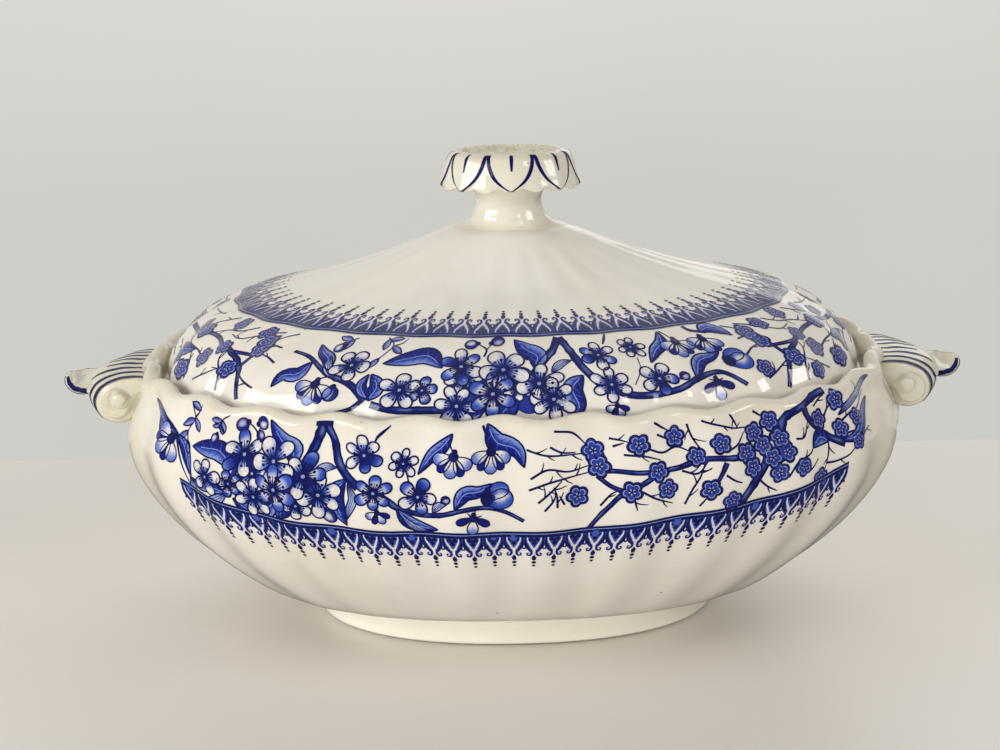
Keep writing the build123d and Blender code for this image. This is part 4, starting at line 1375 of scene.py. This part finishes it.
def lid_bunch(art, rng):
    """The lid's bunch of blossoms on its forked branch."""
    branch(art, [(16.0, -2.4), (13.4, -8.0), (9.4, -13.0), (6.0, -18.0)], 2.3, 2.2, 0.3, 1.1, 31)
    branch(art, [(16.6, -2.4), (19.2, -10.0), (21.6, -16.6), (25.4, -22.4)], 2.2, 2.5, 0.3, 0.9, 32)
    leaf(art, [(6.4, -15.4), (7.8, -10.6), (4.2, -7.6), (0.6, -3.2)], 3.6, 0.6, -1)
    open_leaf(art, [(11.6, -17.4), (15.0, -14.4), (18.4, -13.4)], 1.4, 1.2)
    leaf(art, [(-22.4, -15.4), (-28.0, -10.4), (-34.0, -11.2), (-41.6, -13.8)], 3.5, 0.6, 1)
    leaf(art, [(20.8, -19.4), (17.0, -24.0), (18.4, -29.4), (17.2, -32.6)], 2.9, 1.2, -1)
    leaf(art, [(-8.0, -27.4), (-13.0, -30.6), (-18.0, -33.0)], 2.8, 0.9, 1)
    leaf(art, [(1.0, -27.0), (-3.0, -30.4), (-4.0, -33.2)], 2.8, 0.9, -1)
    underlay(art, ((-14.5, -21.5, 5.2), (-8.5, -20.5, 5.2), (-11.0, -27.0, 4.4), (1.5, -21.0, 4.8),
                   (4.0, -27.0, 4.2), (-3.0, -29.5, 3.6)))
    small = [(-14.8, -19.6, 6.0, 6, "tip", 10), (-27.0, -23.8, 4.8, 5, "edge", 80),
             (0.8, -22.6, 5.4, 6, "tip", 40)]
    bunch(art, rng, small, 1.2)
    big = [(-33.6, -23.4, 6.6, 5, "tip", 85), (-16.4, -14.6, 7.4, 6, "mixed", 100),
           (-16.4, -28.4, 6.8, 6, "tip", 60), (7.4, -21.4, 8.0, 6, "tip", 75),
           (11.2, -26.8, 7.0, 6, "tip", 30), (-3.2, -16.6, 8.2, 5, "tip", 120),
           (-6.2, -25.0, 7.8, 6, "edge", 95)]
    bunch(art, rng, big, 1.7, 0.42)
    twig(art, [(-9.6, -10.6), (-9.0, -7.4), (-11.6, -5.0)], 0.45)
    bud(art, -14.4, -4.8, 2.1, 190, 1.5, True)
    bud(art, -5.4, -3.9, 2.2, 20, 1.5)
    art.line([(-9.0, -7.6), (-7.4, -5.2)], 0.4, 1.0)
    sprig(art, [(-45.2, -2.2), (-41.6, -6.0), (-44.4, -12.8)],
          [(0.12, 1, 4.8), (0.1, -1, 5.2), (0.45, 1, 5.2), (0.96, 0, 4.6)])
    twig(art, [(-41.6, -6.0), (-39.0, -4.4), (-37.8, -2.0)], 0.42)


def lid_left(art, rng):
    """Branch, leaves and bells to the left."""
    branch(art, [(-74.6, -11.0), (-67.0, -13.4), (-58.0, -18.4), (-49.0, -22.6), (-43.4, -27.6)], 0.7,
           2.0, 0.4, 0.7, 33)
    branch(art, [(-41.4, -28.4), (-34.0, -29.8), (-24.0, -30.0), (-15.0, -29.0)], 1.9, 2.1, 0.4, 0.9, 34)
    branch(art, [(-43.8, -27.0), (-47.4, -30.4), (-54.0, -32.6)], 1.2, 0.5, 0.4, 0.4, 35)
    leaf(art, [(-65.2, -15.0), (-67.6, -20.2), (-71.8, -21.0), (-73.8, -25.2)], 2.5, 1.0, 1)
    leaf(art, [(-57.6, -17.6), (-60.4, -12.8), (-64.0, -10.6), (-67.2, -7.4)], 2.0, 1.0, -1)
    open_leaf(art, [(-55.2, -20.0), (-58.6, -16.4), (-60.0, -11.6)], 1.4, 1.2)
    leaf(art, [(-42.2, -27.2), (-40.6, -22.4), (-43.6, -18.4)], 2.3, 1.1, -1)
    leaf(art, [(-42.6, -27.0), (-45.6, -23.0), (-44.6, -18.6)], 1.6, 1.0, 1)
    blossom(art, -51.6, -15.2, 6.8, 5, 60, "tip", rng, 1.8)
    hanging_bell(art, -59.6, -22.4, 7.4, -98, 1.6, 5)
    twig(art, [(-55.4, -19.8), (-58.0, -20.0), (-59.6, -21.6)], 0.4)
    bud(art, -54.0, -25.6, 2.2, -92, 1.5, True)
    sprig(art, [(-56.0, -2.6), (-58.4, -4.4), (-59.6, -6.4)],
          [(0.3, 1, 5.0), (0.4, -1, 5.4), (0.8, 1, 3.0)])
    bud(art, -59.6, -7.6, 1.9, -95, 1.4, True)


def lid_right(art, rng):
    """Loose blossoms, leaf and bells to the right."""
    blossom(art, 27.6, -11.2, 6.2, 6, 30, "mixed", rng, 1.8)
    art.line([(30.8, -6.4), (32.4, -3.6), (33.4, -1.6)], [0.5, 1.0, 0.6], 1.0)
    blossom(art, 39.6, -9.0, 4.9, 6, 10, "tip", rng, 1.8)
    art.line([(39.8, -13.6), (39.0, -18.4), (35.6, -23.6)], [0.3, 0.34], 1.0)
    leaf(art, [(52.8, -2.2), (51.0, -7.4), (47.0, -11.0), (43.4, -16.0)], 2.0, 1.0, -1)
    hanging_bell(art, 55.8, -7.6, 7.2, -96, 1.6, 5)
    twig(art, [(53.6, -2.0), (54.8, -4.4), (55.6, -6.6)], 0.4)
    hanging_bell(art, 66.0, -7.8, 7.0, -100, 1.6, 5)
    branch(art, [(64.0, -1.2), (65.2, -3.6), (69.6, -5.0)], 1.2, 0.9, 0.6, 0.5, 36)
    leaf(art, [(68.0, -4.6), (72.4, -3.0), (76.0, -5.6), (77.6, -8.0)], 2.6, 1.0, 1)
    branch(art, [(28.4, -24.0), (33.0, -26.4), (40.0, -27.4), (48.0, -26.0), (55.0, -23.0), (63.6, -22.2),
                 (69.8, -27.2)], 2.1, 1.1, 0.5, 0.7, 37)
    blossom(art, 28.6, -22.8, 6.2, 6, 90, "tip", rng, 2.0)
    blossom(art, 43.6, -22.2, 6.0, 5, 62, "mixed", rng, 2.0)
    leaf(art, [(54.6, -23.0), (58.4, -17.2), (63.6, -16.0), (67.2, -14.4)], 2.2, 1.4, 1)
    bud(art, 71.4, -17.6, 3.8, 15, 1.6, True)
    art.spot(68.0, -18.4, 1.7, 2.4, squash=1.4)
    bud(art, 51.2, -21.6, 1.4, 30, 1.5)
    hanging_bell(art, 60.6, -25.0, 6.2, -90, 2.6, 3)
    stamens(art, 60.6, -25.2, (20, 75, 150), 2.6, 2.8)
    hanging_bell(art, 29.0, -29.4, 4.0, -90, 2.0, 4)


def lid_ends(art, rng):
    """Thorny branches with small blossoms, mirrored at the two ends."""
    for m, shift in ((1, 0.0), (-1, 2.0)):
        for points, *weight in LID_BRANCHES:
            branch(art, mirrored(points, m), *weight)
        for i, (cx, cy) in enumerate(LID_BLOSSOMS):
            if m > 0 or 12 > i > 0:
                step = i % 3
                x, y = m * (cx + shift * step), cy - shift * 0.4 * (i % 2)
                small_blossom(art, x, y, 3.4 + 0.35 * step, rng.uniform(0, 72), 1.2 + 0.35 * step)
        thorny_twigs(art, LID_TWIGS, 0.44, 50, m, shift)
        leaf(art, mirrored([(117.0, -19.6), (124.0, -21.4), (131.0, -21.4)], m), 2.6, 1.0, 1)


def scene_lid(art, rng):
    """The lid's picture: a bunch near the middle, branches beside it and thorny twigs at the ends."""
    lid_bunch(art, rng)
    lid_left(art, rng)
    lid_right(art, rng)
    lid_ends(art, rng)


def picture(name, body, place, length, scene, seed):
    """The front's drawing, and the same again at the back."""
    art = Print(place)
    for half in (0, 1):
        art.shift = half * length / 2
        scene(art, random.Random(seed))
    art.finish(name, body)


def bowl_border():
    """The bowl's band, which stops at the handles."""
    band = Print(bowl_border_place)
    for half in (0, 1):
        start = half * BOWL_ROUND / 2 + BOWL_BORDER_START
        border(band, start, start + BOWL_BORDER_REPEATS * BOWL_PITCH, BOWL_PITCH, -1, 1.06)
    band.finish("bowl_border", "bowl")


def lid_border():
    """The lid's band, all round."""
    band = Print(lid_border_place)
    border(band, 0.0, LID_ROUND, LID_PITCH, 1, 1.12)
    band.finish("lid_border", "lid")


picture("bowl_picture", "bowl", bowl_place, BOWL_ROUND, scene_bowl, 11)
bowl_border()
picture("lid_picture", "lid", lid_place, LID_ROUND, scene_lid, 29)
lid_border()

# ---------------------------------------------------------------- painted lines
def painted(name, body, ribbons):
    """Ribbons of brush line. Each is a grid of points along and across it, already on its surface."""
    points = []
    faces = []
    base = 0
    for grid in ribbons:
        points.append(grid.reshape(-1, 3))
        faces += grid_faces(len(grid), grid.shape[1], closed=False, base=base)
        base += grid.shape[0] * grid.shape[1]
    make_object(name, np.concatenate(points), faces, body, brush_ink)


def handle_ribbons(side):
    """Stripes along a handle's strap, and the lines on its tip leaf."""
    ribbons = []
    n = 60
    v = np.linspace(0, 1, n)
    for i, y0 in enumerate((-18.6, -13.6, -8.4, -3.0, 3.0, 8.4, 13.6, 18.6)):
        outer = abs(y0) > 12
        w = np.linspace(2.6, 31.0 if outer else (21.5 if abs(y0) > 5 else 17.5), n)
        close = 1 - (0.0 if outer else 0.12) * np.clip((w - 8) / 14, 0, 1)
        taper = 0.45 + 0.65 * np.sin(math.pi * np.clip(v * 0.9 + 0.06, 0, 1))
        width = (2.3 if abs(y0) > 17 else 2.15) * taper * (1 + 0.1 * np.sin(9 * v + i))
        y = y0 * close + 0.12 * np.sin(5 * v + i)
        across = ((-0.5, 0.05), (0, 0.06), (0.5, 0.05))
        grid = np.stack([handle_point(w, y + k * width, lift) for k, lift in across], 1)
        ribbons.append(grid * (side, 1, 1))
    s = np.linspace(0.42, 0.99, 40)
    for low, high in ((-0.45, 0.45), (-1.05, -0.8)):
        for flip in (1, -1):
            t = np.linspace(low, high, 18)
            t = t if flip > 0 else math.pi - t
            grid = leaf_point(s[:, None], t[None, :], 0.08)
            ribbons.append(grid * (side, 1, 1))
    return ribbons


def crown_line(turn, h, wide):
    """A line down the flower; turn and wide are in sectors of one petal."""
    across = (-0.5, 0, 0.5)
    return np.stack([crown_point((turn + k * wide) / CROWN_PETALS, h, 0.07) for k in across], 1)


def crown_ribbons():
    """The edges of the outer petals, and a short rib down each."""
    ribbons = []
    h = np.linspace(0.0, 0.985, 60)
    for i in range(CROWN_PETALS):
        for m in (-1, 1):
            wide = 0.078 * (0.9 + 0.2 * np.sin(math.pi * h + i))
            mid = m * np.maximum(petal_reach(h) - 0.036, 0.012)
            ribbons.append(crown_line(i + mid, h, wide))
        v = np.linspace(0.01, 0.5 + 0.04 * math.sin(i * 2.0), 24)
        wide = 0.075 * np.interp(v, [0.05, 0.2, 0.5], [0.9, 1.1, 0.5])
        ribbons.append(crown_line(i + 0.02, v, wide))
    return ribbons


painted("handle_stripes_right", "bowl", handle_ribbons(1))
painted("handle_stripes_left", "bowl", handle_ribbons(-1))
painted("knob_lines", "lid", crown_ribbons())


# ---------------------------------------------------------------- stage, lights, camera
def floor_material():
    mat, tree, shader = node_material("stage_floor")
    fog = scale_value(tree, noise(tree, 6, 3, 0.5, object_coords(tree)), 0.3, 0.7)
    colour = mix(tree, fog, (0.76, 0.715, 0.655), (0.80, 0.755, 0.70))
    tree.links.new(colour, shader.inputs["Base Color"])
    set_values(shader, {"Roughness": 0.35})
    return mat


def wall_material():
    """A plain wall that glows softly, lighter and warmer above and greyer to both sides."""
    mat, tree, shader = node_material("stage_wall")
    coords = object_coords(tree)
    fog = scale_value(tree, noise(tree, 2, 3, 0.5, coords), 0.3, 0.7)
    place = tree.nodes.new("ShaderNodeSeparateXYZ")
    tree.links.new(coords, place.inputs[0])
    up = scale_value(tree, place.outputs["Z"], -0.1, 0.3)
    right = scale_value(tree, place.outputs["X"], 0.0, 0.7, 0.0, 0.5)
    left = scale_value(tree, place.outputs["X"], -0.7, 0.0, 0.4, 0.0)
    glow = mix(tree, up, (0.52, 0.52, 0.485), (0.71, 0.675, 0.635))
    glow = mix(tree, right, glow, (0.55, 0.55, 0.52))
    glow = mix(tree, left, glow, (0.56, 0.555, 0.53))
    glow = mix(tree, fog, glow, (0.97, 0.975, 0.97), "MULTIPLY")
    tree.links.new(glow, shader.inputs["Emission Color"])
    set_values(shader, {"Emission Strength": 1.12, "Base Color": (0.08, 0.08, 0.075, 1.0),
                        "Specular IOR Level": 0.0, "Roughness": 0.8})
    return mat


def stage_quad(name, corners, material):
    mesh = bpy.data.meshes.new(name)
    mesh.from_pydata(corners, [], [(0, 1, 2, 3)])
    mesh.materials.append(material)
    obj = bpy.data.objects.new(name, mesh)
    bpy.context.scene.collection.objects.link(obj)
    return obj


table = stage_quad("floor", [(-3, -3, -0.0003), (3, -3, -0.0003), (3, 0.185, -0.0003),
                             (-3, 0.165, -0.0003)], floor_material())
table.visible_glossy = False
stage_quad("wall", [(-4, 1.4, -0.42), (4, 1.4, -0.42), (4, 1.4, 2.5), (-4, 1.4, 2.5)], wall_material())


def area_light(name, azimuth, elevation, distance, size, power):
    """A window-like light, aimed at the object. Azimuth 0 is on the camera's side, positive to the right."""
    data = bpy.data.lights.new(name, "AREA")
    data.shape = "RECTANGLE"
    data.size, data.size_y = size
    data.energy = power
    obj = bpy.data.objects.new(name, data)
    a, e = math.radians(azimuth), math.radians(elevation)
    target = Vector((0, 0, 0.09))
    way = Vector((math.sin(a) * math.cos(e), -math.cos(a) * math.cos(e), math.sin(e)))
    obj.location = target + way * distance
    obj.rotation_euler = (target - obj.location).to_track_quat("-Z", "Y").to_euler()
    bpy.context.scene.collection.objects.link(obj)
    return obj


area_light("window_left", -63, 22, 1.3, (1.0, 0.40), 7.6)
area_light("window_right", 70, 25, 1.3, (0.46, 0.36), 3.7)
area_light("window_small", 34, 34, 1.3, (0.16, 0.2), 0.7)
area_light("soft_front", -18, 5, 1.5, (1.0, 0.24), 11.5).visible_glossy = False
area_light("soft_back", 168, 42, 1.5, (1.0, 0.6), 3.8).visible_glossy = False
area_light("window_back", 161, 14, 1.35, (0.75, 0.30), 0.5)


def studio_world():
    """The room: dim and lighter overhead for the object, plain grey behind it for the camera."""
    world = bpy.data.worlds.new("studio")
    world.use_nodes = True
    tree = world.node_tree
    height = tree.nodes.new("ShaderNodeSeparateXYZ")
    way = tree.nodes.new("ShaderNodeTexCoord").outputs["Generated"]
    tree.links.new(way, height.inputs[0])
    level = scale_value(tree, height.outputs["Z"], 0.0, 1.0)
    room = ramp(tree, level, [(0.0, (0.12, 0.12, 0.12)), (0.03, (0.10, 0.10, 0.10)),
                              (0.45, (0.20, 0.20, 0.20)), (1.0, (0.34, 0.34, 0.34))])
    seen = tree.nodes.new("ShaderNodeLightPath").outputs["Is Camera Ray"]
    sky = tree.nodes["Background"]
    tree.links.new(mix(tree, seen, room, (0.60, 0.59, 0.56)), sky.inputs["Color"])
    set_values(sky, {"Strength": 1.0})
    return world


bpy.context.scene.world = studio_world()
bpy.context.scene.view_settings.view_transform = "Standard"

PITCH = 15.1  # degrees down
ROLL = 1.2    # degrees
camera_data = bpy.data.cameras.new("camera")
camera_data.sensor_width = 36.0
camera_data.lens = 74.6
camera = bpy.data.objects.new("camera", camera_data)
camera.location = (-0.0043, -0.700, 0.270)
forward = Vector((0, math.cos(math.radians(PITCH)), -math.sin(math.radians(PITCH))))
look = forward.to_track_quat("-Z", "Y")
camera.rotation_mode = "QUATERNION"
camera.rotation_quaternion = look @ Quaternion((0, 0, 1), math.radians(-ROLL))
bpy.context.scene.collection.objects.link(camera)
bpy.context.scene.camera = camera
